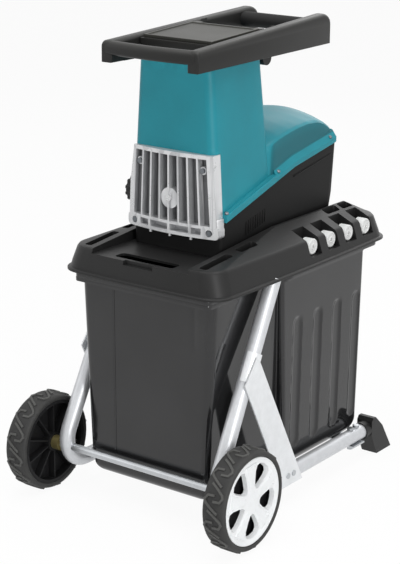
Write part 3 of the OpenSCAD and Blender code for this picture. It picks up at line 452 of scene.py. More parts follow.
BRASS = drawn_metal("brass_bush", paint(150, 138, 92), 0.42, 0.8, (60, 700, 700), 0.6)
START_GREEN = moulded("green_button", paint(52, 150, 76), 0.34, 900.0, 0.04)
STOP_RED = moulded("red_button", paint(190, 44, 38), 0.34, 900.0, 0.04)


# Mesh helpers


def in_scene(name, data):
    made = bpy.data.objects.new(name, data)
    bpy.context.scene.collection.objects.link(made)
    return made


def meshed(name, bm):
    mesh = bpy.data.meshes.new(name)
    bm.to_mesh(mesh)
    bm.free()
    return in_scene(name, mesh)


def plain_object(name, bm):
    """A mesh built in millimetres becomes an object in metres, its faces turned outwards."""
    bmesh.ops.remove_doubles(bm, verts=bm.verts[:], dist=0.005)
    bmesh.ops.recalc_face_normals(bm, faces=bm.faces[:])
    bmesh.ops.scale(bm, vec=(MM, MM, MM), verts=bm.verts[:])
    return meshed(name, bm)


def settled(piece):
    """Replace the mesh by what its modifiers make of it, and clear them."""
    graph = bpy.context.evaluated_depsgraph_get()
    mesh = bpy.data.meshes.new_from_object(piece.evaluated_get(graph))
    old = piece.data
    piece.modifiers.clear()
    piece.data = mesh
    bpy.data.meshes.remove(old)
    return piece


def smooth(piece, crease=35.0):
    mesh = piece.data
    mesh.polygons.foreach_set("use_smooth", [True] * len(mesh.polygons))
    mesh.set_sharp_from_angle(angle=math.radians(crease))
    return piece


def soften(piece, width, steps=2, angle=30.0, crease=40.0):
    """Round the edges of a solid as a mould does, and keep its flat faces flat."""
    bevel = piece.modifiers.new("round", "BEVEL")
    bevel.width = width * MM
    bevel.segments = steps
    bevel.limit_method = "ANGLE"
    bevel.angle_limit = math.radians(angle)
    bevel.miter_outer = "MITER_ARC"
    bevel.use_clamp_overlap = True
    settled(piece)
    smooth(piece, crease)
    weigh = piece.modifiers.new("flats", "WEIGHTED_NORMAL")
    weigh.keep_sharp = True
    return settled(piece)


def walled(piece, thickness):
    """Give an open shell its wall, inside the shell's own face."""
    wall = piece.modifiers.new("wall", "SOLIDIFY")
    wall.thickness = thickness * MM
    wall.offset = -1.0
    return settled(piece)


def carve(piece, cutters, operation="DIFFERENCE"):
    for cutter in cutters:
        cut = piece.modifiers.new("cut", "BOOLEAN")
        cut.operation = operation
        cut.solver = "EXACT"
        cut.object = cutter
        settled(piece)
        bpy.data.objects.remove(cutter)
    return piece


def joined(name, pieces):
    """Several objects as one plain mesh."""
    bm = bmesh.new()
    for piece in pieces:
        bm.from_mesh(piece.data)
        bpy.data.objects.remove(piece)
    return meshed(name, bm)


def copy_of(node, name):
    """The CAD node's own shape, with its loose triangles merged into faces."""
    bm = bmesh.new()
    bm.from_mesh(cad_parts[node].data)
    bmesh.ops.remove_doubles(bm, verts=bm.verts[:], dist=2e-5)
    bmesh.ops.dissolve_limit(
        bm, angle_limit=math.radians(0.7), verts=bm.verts[:], edges=bm.edges[:]
    )
    return meshed(name, bm)


def dress(piece, finish, body, node):
    """Give a piece its finish and the body it moves with, and hide the node that it stands for."""
    piece.data.materials.clear()
    piece.data.materials.append(finish)
    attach(piece, body)
    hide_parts(node)


def rounded_copy(node, name, width, steps, angle, finish, body):
    """The CAD node's own shape with its mould's rounded edges, dressed."""
    dress(soften(copy_of(node, name), width, steps, angle), finish, body, node)


def loft(bm, rings, start=True, end=True, around=True):
    """Faces between rings of points, with or without end caps, closed round or open."""
    loops = [[bm.verts.new(point) for point in ring] for ring in rings]
    count = len(loops[0])
    last = count if around else count - 1
    for low, high in zip(loops, loops[1:]):
        for i in range(last):
            j = (i + 1) % count
            bm.faces.new((low[i], low[j], high[j], high[i]))
    if start:
        bm.faces.new(loops[0][::-1])
    if end:
        bm.faces.new(loops[-1])


def prism(bm, outline, push):
    """A flat outline of 3-D points, pushed along a vector."""
    loft(bm, [outline, [Vector(point) + Vector(push) for point in outline]])


def block(bm, x, y, z):
    foot = [(x[0], y[0], z[0]), (x[1], y[0], z[0]), (x[1], y[1], z[0]), (x[0], y[1], z[0])]
    prism(bm, foot, (0, 0, z[1] - z[0]))


def lofted(name, rings, *ends):
    """An object made of rings alone."""
    bm = bmesh.new()
    loft(bm, rings, *ends)
    return plain_object(name, bm)


def pushed(name, outline, push):
    """An object made of a pushed outline alone."""
    bm = bmesh.new()
    prism(bm, outline, push)
    return plain_object(name, bm)


def arc(middle, radius, start, end, steps):
    """Points on a circle from one angle to another, in degrees."""
    turns = [math.radians(start + (end - start) * k / steps) for k in range(steps + 1)]
    return [(middle[0] + radius * math.cos(a), middle[1] + radius * math.sin(a)) for a in turns]


def rounded_plan(half_x, front, rear, radius, steps, spans=1):
    """Rectangle with round corners seen from above, its straight sides in some spans."""
    right = half_x - radius
    corners = (
        (right, front + radius, 270), (right, rear - radius, 0),
        (-right, rear - radius, 90), (-right, front + radius, 180),
    )
    arcs = [arc((x, y), radius, begin, begin + 90, steps) for x, y, begin in corners]
    points = []
    for corner, following in zip(arcs, arcs[1:] + arcs[:1]):
        points += corner
        for k in range(1, spans):
            points.append([part_way(ends, k / spans) for ends in zip(corner[-1], following[0])])
    return points


def slab(bm, half_x, front, rear, low, high, radius, at_x=0.0):
    plan = rounded_plan(half_x, front, rear, radius, 5)
    prism(bm, [(x + at_x, y, low) for x, y in plan], (0, 0, high - low))


def turned(bm, profile, steps, centre, axis):
    """A closed profile of (along, radius) points, turned round X or Z through a centre."""
    rings = []
    for k in range(steps):
        a = 2 * math.pi * k / steps
        ring = []
        for along, radius in profile:
            first = radius * math.cos(a)
            second = radius * math.sin(a)
            point = (along, first, second) if axis == "X" else (first, second, along)
            ring.append(Vector(point) + Vector(centre))
        rings.append(ring)
    loft(bm, rings + rings[:1], False, False)


def swept(bm, path, radius, sides):
    """A round bar along a path, with flat ends."""
    rings = []
    normal = Vector((1, 0, 0))
    for k, point in enumerate(path):
        before = path[max(k - 1, 0)]
        after = path[min(k + 1, len(path) - 1)]
        along = (Vector(after) - Vector(before)).normalized()
        normal = (normal - along * normal.dot(along)).normalized()
        across = along.cross(normal)
        ring = []
        for s in range(sides):
            a = 2 * math.pi * s / sides
            ring.append(Vector(point) + radius * (math.cos(a) * normal + math.sin(a) * across))
        rings.append(ring)
    loft(bm, rings)


def part_way(ends, share):
    return ends[0] + (ends[1] - ends[0]) * share


def between(points, at):
    """Straight interpolation in a list of (place, value) pairs."""
    for (a, first), (b, second) in zip(points, points[1:]):
        if at <= b:
            return part_way((first, second), max(0.0, (at - a) / (b - a)))
    return points[-1][1]


# Repeats


def places_tree():
    """Copies of a pattern at every point of a mesh, turned as the point's attribute says."""
    tree = bpy.data.node_groups.new("pattern_at_places", "GeometryNodeTree")
    inputs = {"Places": "Geometry", "Pattern": "Object", "Size": "Float", "Finish": "Material"}
    for name, kind in inputs.items():
        tree.interface.new_socket(name, in_out="INPUT", socket_type="NodeSocket" + kind)
    tree.interface.new_socket("Copies", in_out="OUTPUT", socket_type="NodeSocketGeometry")
    nodes = Nodes(tree)
    given = nodes.node("NodeGroupInput", {}, {}).outputs
    shape = nodes.node("GeometryNodeObjectInfo", {}, {"Object": given["Pattern"]})
    turn = nodes.node("GeometryNodeInputNamedAttribute", {"data_type": "FLOAT_VECTOR"}, {"Name": "turn"})
    spin = nodes.node("FunctionNodeEulerToRotation", {}, {0: turn.outputs["Attribute"]})
    sockets = {"Points": given["Places"], "Instance": shape.outputs["Geometry"]}
    sockets.update({"Rotation": spin.outputs[0], "Scale": given["Size"]})
    spread = nodes.node("GeometryNodeInstanceOnPoints", {}, sockets)
    real = nodes.node("GeometryNodeRealizeInstances", {}, {"Geometry": spread.outputs["Instances"]})
    sockets = {"Geometry": real.outputs["Geometry"], "Material": given["Finish"]}
    coat = nodes.node("GeometryNodeSetMaterial", {}, sockets)
    nodes.node("NodeGroupOutput", {}, {"Copies": coat.outputs["Geometry"]})
    return tree


PLACES = places_tree()
PLACES_INPUT = {
    item.name: item.identifier for item in PLACES.interface.items_tree if item.in_out == "INPUT"
}


def repeated(name, pattern, places, finish):
    """One mesh of copies of a pattern at places, each a point in millimetres and a turn."""
    bm = bmesh.new()
    for point, turn in places:
        bm.verts.new(Vector(point) * MM)
    piece = meshed(name, bm)
    turns = piece.data.attributes.new("turn", "FLOAT_VECTOR", "POINT")
    for k, (point, turn) in enumerate(places):
        turns.data[k].vector = turn
    rows = piece.modifiers.new("rows", "NODES")
    rows.node_group = PLACES
    rows[PLACES_INPUT["Pattern"]] = pattern
    rows[PLACES_INPUT["Size"]] = 1.0
    rows[PLACES_INPUT["Finish"]] = finish
    settled(piece)
    bpy.data.objects.remove(pattern)
    return smooth(piece, 40.0)


# Wheels


def round_axle(x, radius, angle):
    return (x, radius * math.cos(angle), radius * math.sin(angle))


def wheel_middle(side):
    return (side * (TYRE_IN + TYRE_HALF), AXLE_Y, AXLE_Z)


def tread_unit():
    """Two hooked bars of the tread, each the other one turned half round."""
    hook = [(27, 6), (12, 5), (6.5, -4), (9, -10), (21, -19), (37, -29)]
    other = [(TYRE_W - across, -along) for across, along in hook]
    # Section of a bar: share of its width, and how far from the axle
    section = [(0, TREAD_FOOT_R), (0.16, TREAD_TOP_R), (0.84, TREAD_TOP_R), (1, TREAD_FOOT_R)]
    bm = bmesh.new()
    for line in (hook, other):
        rings = []
        for k, point in enumerate(line):
            before = Vector(line[max(k - 1, 0)])
            after = Vector(line[min(k + 1, len(line) - 1)])
            along = (after - before).normalized()
            side = Vector((-along.y, along.x)) * TREAD_BAR_HALF
            left = Vector(point) + side
            right = Vector(point) - side
            ring = []
            for share, radius in section:
                spot = left.lerp(right, share)
                shoulder = max(0.0, abs(spot.x - TYRE_HALF) - TREAD_FLAT)
                reach = radius - TREAD_FALL * shoulder * shoulder
                ring.append(round_axle(spot.x - TYRE_HALF, -reach, -spot.y / WHEEL_R))
            rings.append(ring)
        loft(bm, rings)
    return plain_object("tread_unit", bm)


def tyre(side, name):
    """A ring of rubber with the tread's bars round it."""
    edge = [(2.5, RIM_R), (0.8, 90.2), (0.0, 93.0), (0.4, 96.0), (2.5, 98.6), (6.5, 100.0), (14.0, 100.5)]
    profile = [(inset - TYRE_HALF, radius) for inset, radius in edge]
    profile += [(TYRE_HALF - inset, radius) for inset, radius in edge[::-1]]
    bm = bmesh.new()
    turned(bm, profile, 120, wheel_middle(side), "X")
    ring = smooth(plain_object(name + "_ring", bm), 50.0)
    places = []
    for k in range(TREAD_UNITS):
        spin = 2 * math.pi * (k + TREAD_START) / TREAD_UNITS
        places.append((wheel_middle(side), (spin, 0.0, 0.0)))
    tread = repeated(name + "_tread", tread_unit(), places, RUBBER)
    return joined(name, [ring, tread])


def cap_window(bm, at):
    """One window of the hub cap: narrow at the hub, round-cornered at the rim, wider in front."""
    back = [(28, 0), (32, 10), (45, 15), (60, 17), (68, 15.5), (73, 10), (74, 0)]
    front = [(25, 0), (29, 13), (43, 19.5), (61, 21.5), (73, 19.5), (78, 12), (79, 0)]
    rings = []
    for x, half in ((-40.0, back), (10.0, back), (26.0, front), (40.0, front)):
        outline = half + [(radius, -turn) for radius, turn in half[-2:0:-1]]
        rings.append([round_axle(x, radius, at + math.radians(turn)) for radius, turn in outline])
    loft(bm, rings)


def spoke_pad(bm, at):
    """Raised back of one spoke, wider towards the rim."""
    flank = [(20, 24), (40, 17), (62, 14.5), (79, 15)]
    low = []
    high = []
    for radius, turn in [(radius, -turn) for radius, turn in flank] + flank[::-1]:
        for ring, inset, x in ((low, 0.0, 46.0), (high, 4.0, 49.4)):
            reach = radius - inset * 0.5 if radius > 50 else radius + inset * 0.5
            a = at + math.radians(turn) - math.copysign(inset / radius, turn)
            ring.append(round_axle(x - TYRE_HALF, reach, a))
    loft(bm, [low, high])


def cap_dots(bm, at):
    """Two raised dots on a spoke."""
    for radius, turn, size in ((66, 9, 3.0), (71, -8, 2.2)):
        profile = [(20, 0.2), (20, size), (24.2, size), (24.8, size - 0.8), (24.9, 0.2)]
        turned(bm, profile, 16, round_axle(0, radius, at + math.radians(turn)), "X")


def hub_cap(side, name):
    profile = [
        (38, 0.5), (38, 87.6), (46.5, 88.6), (49.6, 87.8), (50.6, 85.5), (50.2, 82.5), (48, 79.5),
        (46.8, 76), (46.4, 60), (47, 30), (48.6, 22), (50, 15), (50.5, 0.5),
    ]
    bm = bmesh.new()
    turned(bm, [(along - TYRE_HALF, radius) for along, radius in profile], 120, (0, 0, 0), "X")
    cap = plain_object(name, bm)
    windows = bmesh.new()
    pads = bmesh.new()
    marks = bmesh.new()
    for k in range(SPOKES):
        cap_window(windows, 2 * math.pi * k / SPOKES + CAP_TURN)
        spoke = 2 * math.pi * (k + 0.5) / SPOKES + CAP_TURN
        spoke_pad(pads, spoke)
        cap_dots(marks, spoke)
    carve(cap, [plain_object("cap_windows", windows)])
    soften(cap, 1.0, 2, 40.0)
    raised = soften(plain_object("spoke_pads", pads), 1.6, 3, 20.0, 50.0)
    dots = smooth(plain_object("cap_dots", marks))
    whole = joined(name, [cap, raised, dots])
    turn = Matrix.Rotation(math.pi, 4, "Z") if side < 0 else Matrix.Identity(4)
    whole.data.transform(Matrix.Translation(Vector(wheel_middle(side)) * MM) @ turn)
    return whole


def wheels():
    for side, word in SIDES:
        body = word + "_wheel"
        dress(tyre(side, word + "_tread_tyre"), RUBBER, body, word + "_tyre")
        dress(hub_cap(side, word + "_spoked_cap"), PALE, body, word + "_hub_cap")
        core = word + "_wheel_core"
        rounded_copy(core, word + "_ribbed_core", 1.0, 2, 30.0, DARK, body)


# Collecting box


def flute_depth(y, z):
    """How deep the side of the box is pressed in at a place."""
    deep = 0.0
    for middle in FLUTE_AT:
        level = min(max(z, FLUTE_LOW + FLUTE_HALF), FLUTE_HIGH - FLUTE_HALF)
        off = math.hypot(y - middle, z - level)
        if off < FLUTE_HALF:
            deep = FLUTE_DEEP * (1 - (off / FLUTE_HALF) ** 4)
    return deep


def half_outline(front_x, front, front_r, step, side_x, side_r, rear, rear_r, level=None):
    """Right half of the box seen from above, from the front middle to the rear middle."""
    points = []
    for x in (0, 20, 40, 54, 66, 77, 79, 80, 81, 83, 95, 106, 117, 120, 121, 122, 126, 136):
        points.append((min(x, front_x - front_r), front))
    points += arc((front_x - front_r, front + front_r), front_r, -90, 0, 10)
    for k in range(1, 9):
        points.append((front_x, front + front_r + (step - 2 - front - front_r) * k / 9))
    points += arc((front_x + 2, step - 2), 2, 180, 90, 4)
    points += arc((side_x - side_r, step + side_r), side_r, -90, 0, 6)
    first = step + side_r
    last = rear - rear_r
    for k in range(1, 110):
        y = first + (last - first) * k / 110
        points.append((side_x - (flute_depth(y, level) if level else 0.0), y))
    points += arc((side_x - rear_r, rear - rear_r), rear_r, 0, 90, 6)
    for k in range(1, 5):
        points.append(((side_x - rear_r) * (1 - k / 4), rear))
    return points


def whole_outline(half, z):
    ring = half + [(-x, y) for x, y in half[-2:0:-1]]
    return [(x, y, z) for x, y in ring]


def panel_line(x, z):
    """Depth of the fine upright lines pressed into the front of the box."""
    deep = 0.0
    for at, low, depth in PANEL_LINES:
        if abs(x - at) < PANEL_LINE_HALF and low < z < PANEL_LINE_TOP:
            deep = depth
    return deep


def box_ring(z, inset=0.0):
    """The box's outline at a height, with all that is pressed into its walls."""
    share = (z - BOX_Z) / (BOX_RIM - BOX_Z)
    front_x, front, front_r, step, side_x, rear = [part_way(ends, share) for ends in BOX_TAPER]
    rear += BOX_HEEL * min(1.0, (z - BOX_Z) / BOX_HEEL_H)
    half = half_outline(
        front_x - inset, front + inset, front_r, step, side_x - inset, 9.0, rear - inset, 10.0, z
    )
    ring = []
    for x, y, level in whole_outline(half, z):
        pressed = panel_line(x, level) if y < -240 else 0.0
        if y < -200:
            pressed += between(BOX_TOE, level)
        ring.append((x, y + pressed, level))
    return ring


def rim_band(bm, front_x, front, side_x, rear, low, high):
    """Flat band round the top of the box with rolled edges, open in the middle."""
    def outline(grow, z):
        round_r = 20 + grow
        half = half_outline(
            front_x + grow, front - grow, 12 + grow, -30 - grow, side_x + grow, round_r, rear + grow, round_r
        )
        return whole_outline(half, z)
    inner = half_outline(162, -244, 14, -25, 173, 9, 284, 10)
    rings = [
        whole_outline(inner, low), outline(-1.4, low), outline(-0.4, low + 0.4), outline(0, low + 1.4),
        outline(0, high - 1.4), outline(-0.4, high - 0.4), outline(-1.4, high), whole_outline(inner, high),
    ]
    loft(bm, rings + rings[:1], False, False)


def collecting_box():
    rings = []
    for k in range(9):
        a = math.radians(90 * k / 9)
        rings.append(box_ring(BOX_Z + BOX_R * (1 - math.cos(a)), BOX_R * (1 - math.sin(a))))
    level = BOX_Z + BOX_R
    while level < BOX_RIM - 3:
        rings.append(box_ring(level))
        level += 4.5
    rings.append(box_ring(BOX_RIM - 1))
    rings.append(box_ring(BOX_RIM + 6))
    shell = smooth(walled(lofted("box_wall", rings, True, False), BOX_WALL), 24.0)
    bands = bmesh.new()
    rim_band(bands, 168, -265, 179, 293, BOX_RIM, BOX_TOP - 9)
    rim_band(bands, 167.6, -264.6, 190, 322, BOX_TOP - 10, BOX_TOP)
    rims = smooth(plain_object("box_rims", bands), 40.0)
    dress(joined("fluted_box", [shell, rims]), BOX_BLACK, "box", "collecting_box")


# Deck


def deck_ring(z, half_x, front, rear, radius, bow=DECK_BOW):
    """Deck outline at a height, its sides and front a little bowed."""
    ring = []
    middle = (DECK_FRONT + DECK_REAR) / 2
    long_half = (DECK_REAR - DECK_FRONT) / 2
    for x, y in rounded_plan(half_x, front, rear, radius, 10, 10):
        side = ((y - middle) / long_half) ** 2
        ends = (x / half_x) ** 2
        shift = bow * ends if y < middle else -bow * ends
        ring.append((x * (1 - bow * side / half_x), y + shift * side, z))
    return ring


def deck_cutters():
    """What the deck leaves open: hollow, channel, chute, hand slot, scoop, band slots and notches."""
    words = ("hollow", "channel", "holes", "notches", "slots")
    hollow, channel, holes, notches, slots = [bmesh.new() for word in words]
    loft(hollow, [
        [(x, y, z) for x, y in rounded_plan(126, DECK_FRONT + 22, DECK_REAR - rear_in, 20, 5)]
        for z, rear_in in ((DECK_Z - 4, 14), (DECK_FLOOR - 5, 20))
    ])
    block(channel, (-RECESS_X, RECESS_X), (-BEYOND, BEYOND), (DECK_FLOOR, ABOVE))
    block(holes, CHUTE_X, CHUTE_Y, (DECK_Z - 10, DECK_FLOOR + 10))
    slab(holes, 72, DECK_FRONT + 25, DECK_FRONT + 55, DECK_Z - 10, DECK_FLOOR + 10, 8)
    block(holes, SCOOP_X, (-BEYOND, DECK_FRONT + 18), (DECK_FLOOR - 9, DECK_FLOOR + 100))
    for side in (1, -1):
        for at_x, front, rear in BAND_SLOTS:
            slab(slots, 9, front, rear, DECK_FLOOR - 1, ABOVE, 5, side * at_x)
        for front in NOTCH_AT:
            x = sorted((side * NOTCH_IN, side * 320))
            block(notches, x, (front, front + NOTCH_W), (NOTCH_Z, ABOVE))
    made = (hollow, channel, holes, notches, slots)
    return [plain_object("deck_" + word, bm) for word, bm in zip(words, made)]


def deck():
    # How far above the foot, inside the side, front and rear, and the corner, from the lip upwards
    steps = [
        (0, 2, 2, 2, 44), (1.2, 0, 0, 0, 44), (5, 0, 0, 0, 44), (6.6, 1.6, 1.6, 1.6, 44), (7.6, 5, 5, 5, 44),
        (19, 8, 6.5, 7, 44), (48, 18, 11, 12, 44), (53, 21.5, 13.5, 16, 43), (55, 26, 17, 21, 42),
    ]
    rings = []
    for up, side, front, rear, radius in steps:
        rings.append(deck_ring(DECK_Z + up, DECK_X - side, DECK_FRONT + front, DECK_REAR - rear, radius))
    rings.append(deck_ring(DECK_Z + 79, 125, 4, 291, 14, 0.0))
    rings.append(deck_ring(DECK_Z + 80, 122, 10, 287, 12, 0.0))
    tray = carve(lofted("deck_tray", rings), deck_cutters())
    soften(tray, 1.8, 3, 32.0, 42.0)
    dress(tray, BLACK, "root", "deck")


def shoulder_discs():
    """Pale caps in the notches, each with a stepped face and a core hole."""
    bm = bmesh.new()
    profile = [
        (0.3, 1), (0.3, 8.5), (17, 8.5), (18, 15.2), (19.6, 16.6), (38.5, 16.6), (40.2, 15.6),
        (40.6, 13.6), (39.4, 12.4), (39.2, 7), (40.4, 5.6), (40.6, 3.4), (36, 2.6), (36, 1),
    ]
    other = [(-2 * NOTCH_IN - along, radius) for along, radius in profile]
    for front in NOTCH_AT:
        spot = (NOTCH_IN, front + NOTCH_W / 2, NOTCH_Z + DISC_UP)
        turned(bm, profile, 48, spot, "X")
        turned(bm, other, 48, spot, "X")
    dress(smooth(plain_object("notch_discs", bm)), DISC_GREY, "root", "shoulder_discs")


# Frame


def leg_path(side):
    """Middle line of a side tube, from the rear end round the bend and up to the deck."""
    axle_up = (AXLE_Z - TUBE_Z) / math.cos(LEG_LEAN)
    bend_y = AXLE_Y + math.sqrt(BEND_R * BEND_R - (BEND_R - axle_up) ** 2)
    path = [(TUBE_REAR, 0.0), (120.0, 0.0), (-60.0, 0.0)]
    for k in range(25):
        a = (math.pi - LEG_SLOPE) * k / 24
        path.append((bend_y - BEND_R * math.sin(a), BEND_R * (1 - math.cos(a))))
    rise = (DECK_Z + 4 - TUBE_Z) / math.cos(LEG_LEAN) - BEND_R * (1 + math.cos(LEG_SLOPE))
    length = rise / math.sin(LEG_SLOPE)
    y, up = path[-1]
    for k in range(1, 5):
        run = length * k / 4
        path.append((y + run * math.cos(LEG_SLOPE), up + run * math.sin(LEG_SLOPE)))
    return [
        (side * (TUBE_X - up * math.sin(LEG_LEAN)), y, TUBE_Z + up * math.cos(LEG_LEAN)) for y, up in path
    ]


def tube_frame():
    for side, word in SIDES:
        bm = bmesh.new()
        swept(bm, leg_path(side), TUBE_R, 40)
        tube = smooth(plain_object(word + "_bent_tube", bm), 50.0)
        dress(tube, TUBE_SILVER, "root", word + "_side_tube")
        plate = word + "_brace_plate"
        rounded_copy(word + "_brace", plate, 0.9, 2, 35.0, BRACE_SILVER, "root")
        rounded_copy(word + "_foot", word + "_heel_foot", 2.5, 3, 28.0, BLACK, "root")
    for word in ("front", "rear"):
        strap = word + "_cross_strap"
        rounded_copy(strap, word + "_joggled_strap", 0.8, 2, 30.0, STRAP_STEEL, "root")
    rounded_copy("axle", "wheel_axle", 1.0, 2, 30.0, STRAP_STEEL, "root")


# Housing


def seam(y):
    return between(SEAM, y)


def hopper_outline(z):
    share = (z - HOPPER_FOOT) / (HOPPER_TOP - HOPPER_FOOT)
    half_x = part_way(HOPPER_X, share)
    return rounded_plan(half_x, HOPPER_FRONT, part_way(HOPPER_REAR, share), HOPPER_R, 10, 6)


def hopper():
    """The tower from the sloping seam up to its mouth, with its pocket for the casting and its flange."""
    feet = [seam(y) for x, y in hopper_outline(640.0)]
    rings = []
    for k in range(13):
        ring = []
        for i, foot in enumerate(feet):
            z = part_way((foot, HOPPER_TOP), k / 12)
            x, y = hopper_outline(z)[i]
            ring.append((x, y, z))
        rings.append(ring)
    deep = rounded_plan(*MOUTH_DEEP, 10, 6)
    rings.append([(x, y, HOPPER_TOP) for x, y in rounded_plan(*MOUTH, 10, 6)])
    rings.append([(x, y, 690.0) for x, y in deep])
    rings.append([(x, y, seam(y) + 6) for x, y in deep])
    rings.append(rings[0])
    tower = lofted("hopper_tower", rings, False, False)
    pocket = bmesh.new()
    block(pocket, (-200, 200), (-300, CASTING_BACK), (500, CASTING_TOP))
    smooth(carve(tower, [plain_object("casting_pocket", pocket)]), 34.0)
    flange = bmesh.new()
    for side in (1, -1):
        rings = []
        for y in (CASTING_BACK - 0.2, -60, COVER_FRONT):
            rings.append([(side * (FLANGE_X - out), y, seam(y) + up) for out, up in HOPPER_FLANGE])
        loft(flange, rings)
    band = soften(plain_object("hopper_flange", flange), 0.5, 2, 30.0)
    dress(joined("hopper_shell", [tower, band]), TEAL, "root", "hopper")


def dome_section(y):
    """Half outline across the motor cover: steep wall, round eave, crowned roof."""
    foot = seam(y) + 8.0
    corner = min(1.0, max(0.0, (y - COVER_BACK + COVER_CORNER) / COVER_CORNER))
    wall_x = between(COVER_SIDE, y) - COVER_CORNER * (1 - math.sqrt(1 - corner * corner))
    top = max(between(EAVE, y), foot + 0.3)
    high = max(between(CROWN, y), top + 0.2)
    drop = min(3.0, max(0.0, top - foot - 0.3))
    points = []
    for k in range(6):
        share = k / 6
        points.append((wall_x - COVER_LEAN * share, foot + (top - drop - foot) * share))
    edge_x = wall_x - COVER_LEAN
    points.append((edge_x, top - drop))
    for k in range(1, 26):
        x = edge_x * (1 - k / 25)
        points.append((x, top + (high - top) * (1 - (x / edge_x) ** 2.0)))
    return points


def flange_path():
    """Outer line of the cover's flange from above, with the direction that points inwards."""
    path = [(FLANGE_X, y, -1.0, 0.0) for y in (COVER_FRONT, 60.0, 100.0, 150.0, 200.0)]
    middle_x = FLANGE_X - FLANGE_R
    middle_y = FLANGE_BACK - FLANGE_R
    for across, back in arc((0, 0), 1.0, 0, 90, 12):
        path.append((middle_x + FLANGE_R * across, middle_y + FLANGE_R * back, -across, -back))
    return path + [(-x, y, -in_x, in_y) for x, y, in_x, in_y in path[::-1]]


def motor_cover():
    rings = []
    for k in range(57):
        y = part_way((DOME_FRONT, COVER_BACK), 1 - (1 - k / 56) ** 1.8)
        half = dome_section(y)
        rings.append([(x, y, z) for x, z in half] + [(-x, y, z) for x, z in half[-2::-1]])
    roof = smooth(walled(lofted("motor_roof", rings, False, False, False), COVER_WALL), 30.0)
    rings = []
    for x, y, in_x, in_y in flange_path():
        rings.append([(x + in_x * out, y + in_y * out, seam(y) + up) for out, up in COVER_FLANGE])
    band = soften(lofted("cover_flange", rings), 0.5, 2, 30.0)
    dress(joined("motor_cover_shell", [roof, band]), COVER_TEAL, "root", "motor_cover")


def pan_head():
    """Screw head with a crossed recess."""
    bm = bmesh.new()
    turned(bm, [(-1.5, 0.3), (-1.5, 4.0), (1.2, 4.0), (2.1, 3.2), (2.4, 0.3)], 24, (0, 0, 0), "Z")
    head = plain_object("pan_head", bm)
    cross = bmesh.new()
    block(cross, (-2.6, 2.6), (-0.5, 0.5), (1.0, 6.0))
    block(cross, (-0.5, 0.5), (-2.6, 2.6), (0.9, 6.1))
    return carve(head, [plain_object("head_cross", cross)])


def cover_screws():
    places = []
    for side in (1, -1):
        for y in SCREWS_AT:
            rise = math.atan(seam(y + 0.5) - seam(y - 0.5))
            spot = (side * (FLANGE_X - 4), y, seam(y) + SCREW_UP)
            places.append((spot, (rise, side * SCREW_TILT, 0.0)))
    heads = repeated("seam_screws", pan_head(), places, TOOL_STEEL)
    dress(heads, TOOL_STEEL, "root", "cover_screws")


def front_casting():
    """The finned casting, slimmer at its upper left, with the shoulders of its lower flange."""
    body = copy_of("front_casting", "casting_body")
    outline = [(-91, 745), (-108.5, 636), (-200, 636), (-200, 745)]
    carve(body, [pushed("slim_left_bar", [(x, -300, z) for x, z in outline], (0, 300, 0))])
    soften(body, 1.3, 2, 30.0)
    plan = [
        (100.0, -160.4), (104.0, -159.0), (108.2, -155.8), (110.8, -151.0), (111.6, -146.0),
        (111.6, -138.0), (100.0, -138.0),
    ]
    ears = bmesh.new()
    for side in (1, -1):
        prism(ears, [(side * x, y, 588.0) for x, y in plan], (0, 0, 23.0))
    shoulders = soften(plain_object("casting_shoulders", ears), 1.6, 3, 30.0)
    casting = joined("finned_casting", [body, shoulders])
    dress(casting, CAST, "root", "front_casting")


def rail_top(y):
    return RAIL_LOW + RAIL_H + (y - RAIL_FRONT) * RAIL_RISE


def side_rail(side):
    """One rail: flat sides, round top edges, squared front end and rounded rear end."""
    rings = []
    for depth in (0.0, 0.5, 1.4, 3.0, 5.0, 8.0, 13.0, 18.0, 21.0, 23.0, 24.6, 25.5, 26.0):
        near = min(depth, RAIL_W - depth)
        top_in, end_in, low_in = [
            r - math.sqrt(r * r - max(0.0, r - near) ** 2) for r in (8.0, 3.0, 2.0)
        ]
        front = RAIL_FRONT + end_in
        rear = RAIL_REAR - end_in
        outline = [(front, RAIL_LOW + low_in), (rear, RAIL_LOW + low_in)]
        long, tall = RAIL_TAIL
        high = rail_top(rear - 20) - top_in
        for out, up in arc((0, 0), 1.0, 0, 90, 8):
            outline.append((rear - long + long * out, high - tall + tall * up))
        nose = (front + RAIL_NOSE, rail_top(front + RAIL_NOSE) - top_in - RAIL_NOSE)
        outline += arc(nose, RAIL_NOSE, 90, 180, 6)
        ring = []
        for y, z in outline:
            x = RAIL_X - RAIL_W + depth - (y - RAIL_FRONT) * RAIL_TAPER
            ring.append((side * x, y, z))
        rings.append(ring)
    return smooth(lofted("side_rail", rings), 40.0)


def front_bar():
    """Bowed carrying bar between the front ends of the rails."""
    section = []
    for inward, z, r, start in ((12, 937, 12, 180), (13, 944, 5, 90), (15, 925, 3, 0), (7, 929, 7, -90)):
        section += arc((inward, z), r, start, start - 90, 6)
    rings = []
    for k in range(25):
        x = part_way((-BAR_HALF, BAR_HALF), k / 24)
        outer = RAIL_FRONT - BAR_OUT + BAR_BOW - math.sqrt(BAR_BOW * BAR_BOW - x * x)
        rings.append([(x, outer + inward, z) for inward, z in section])
    return smooth(lofted("front_bar", rings), 40.0)


def rail_frame():
    """Both rails and the bar, with the collar round the hopper's mouth kept from the solid."""
    inner = copy_of("top_frame", "mouth_collar")
    right = [(90, 870), (90, 935), (83.4, 935), (83.4, 1000)]
    outline = right + [(-x, z) for x, z in right[::-1]]
    keep = pushed("collar_space", [(x, -205, z) for x, z in outline], (0, 270, 0))
    carve(inner, [keep], "INTERSECT")
    soften(inner, 1.2, 2, 30.0)
    whole = joined("rail_frame", [side_rail(1), side_rail(-1), front_bar(), inner])
    dress(whole, RAIL_BLACK, "root", "top_frame")


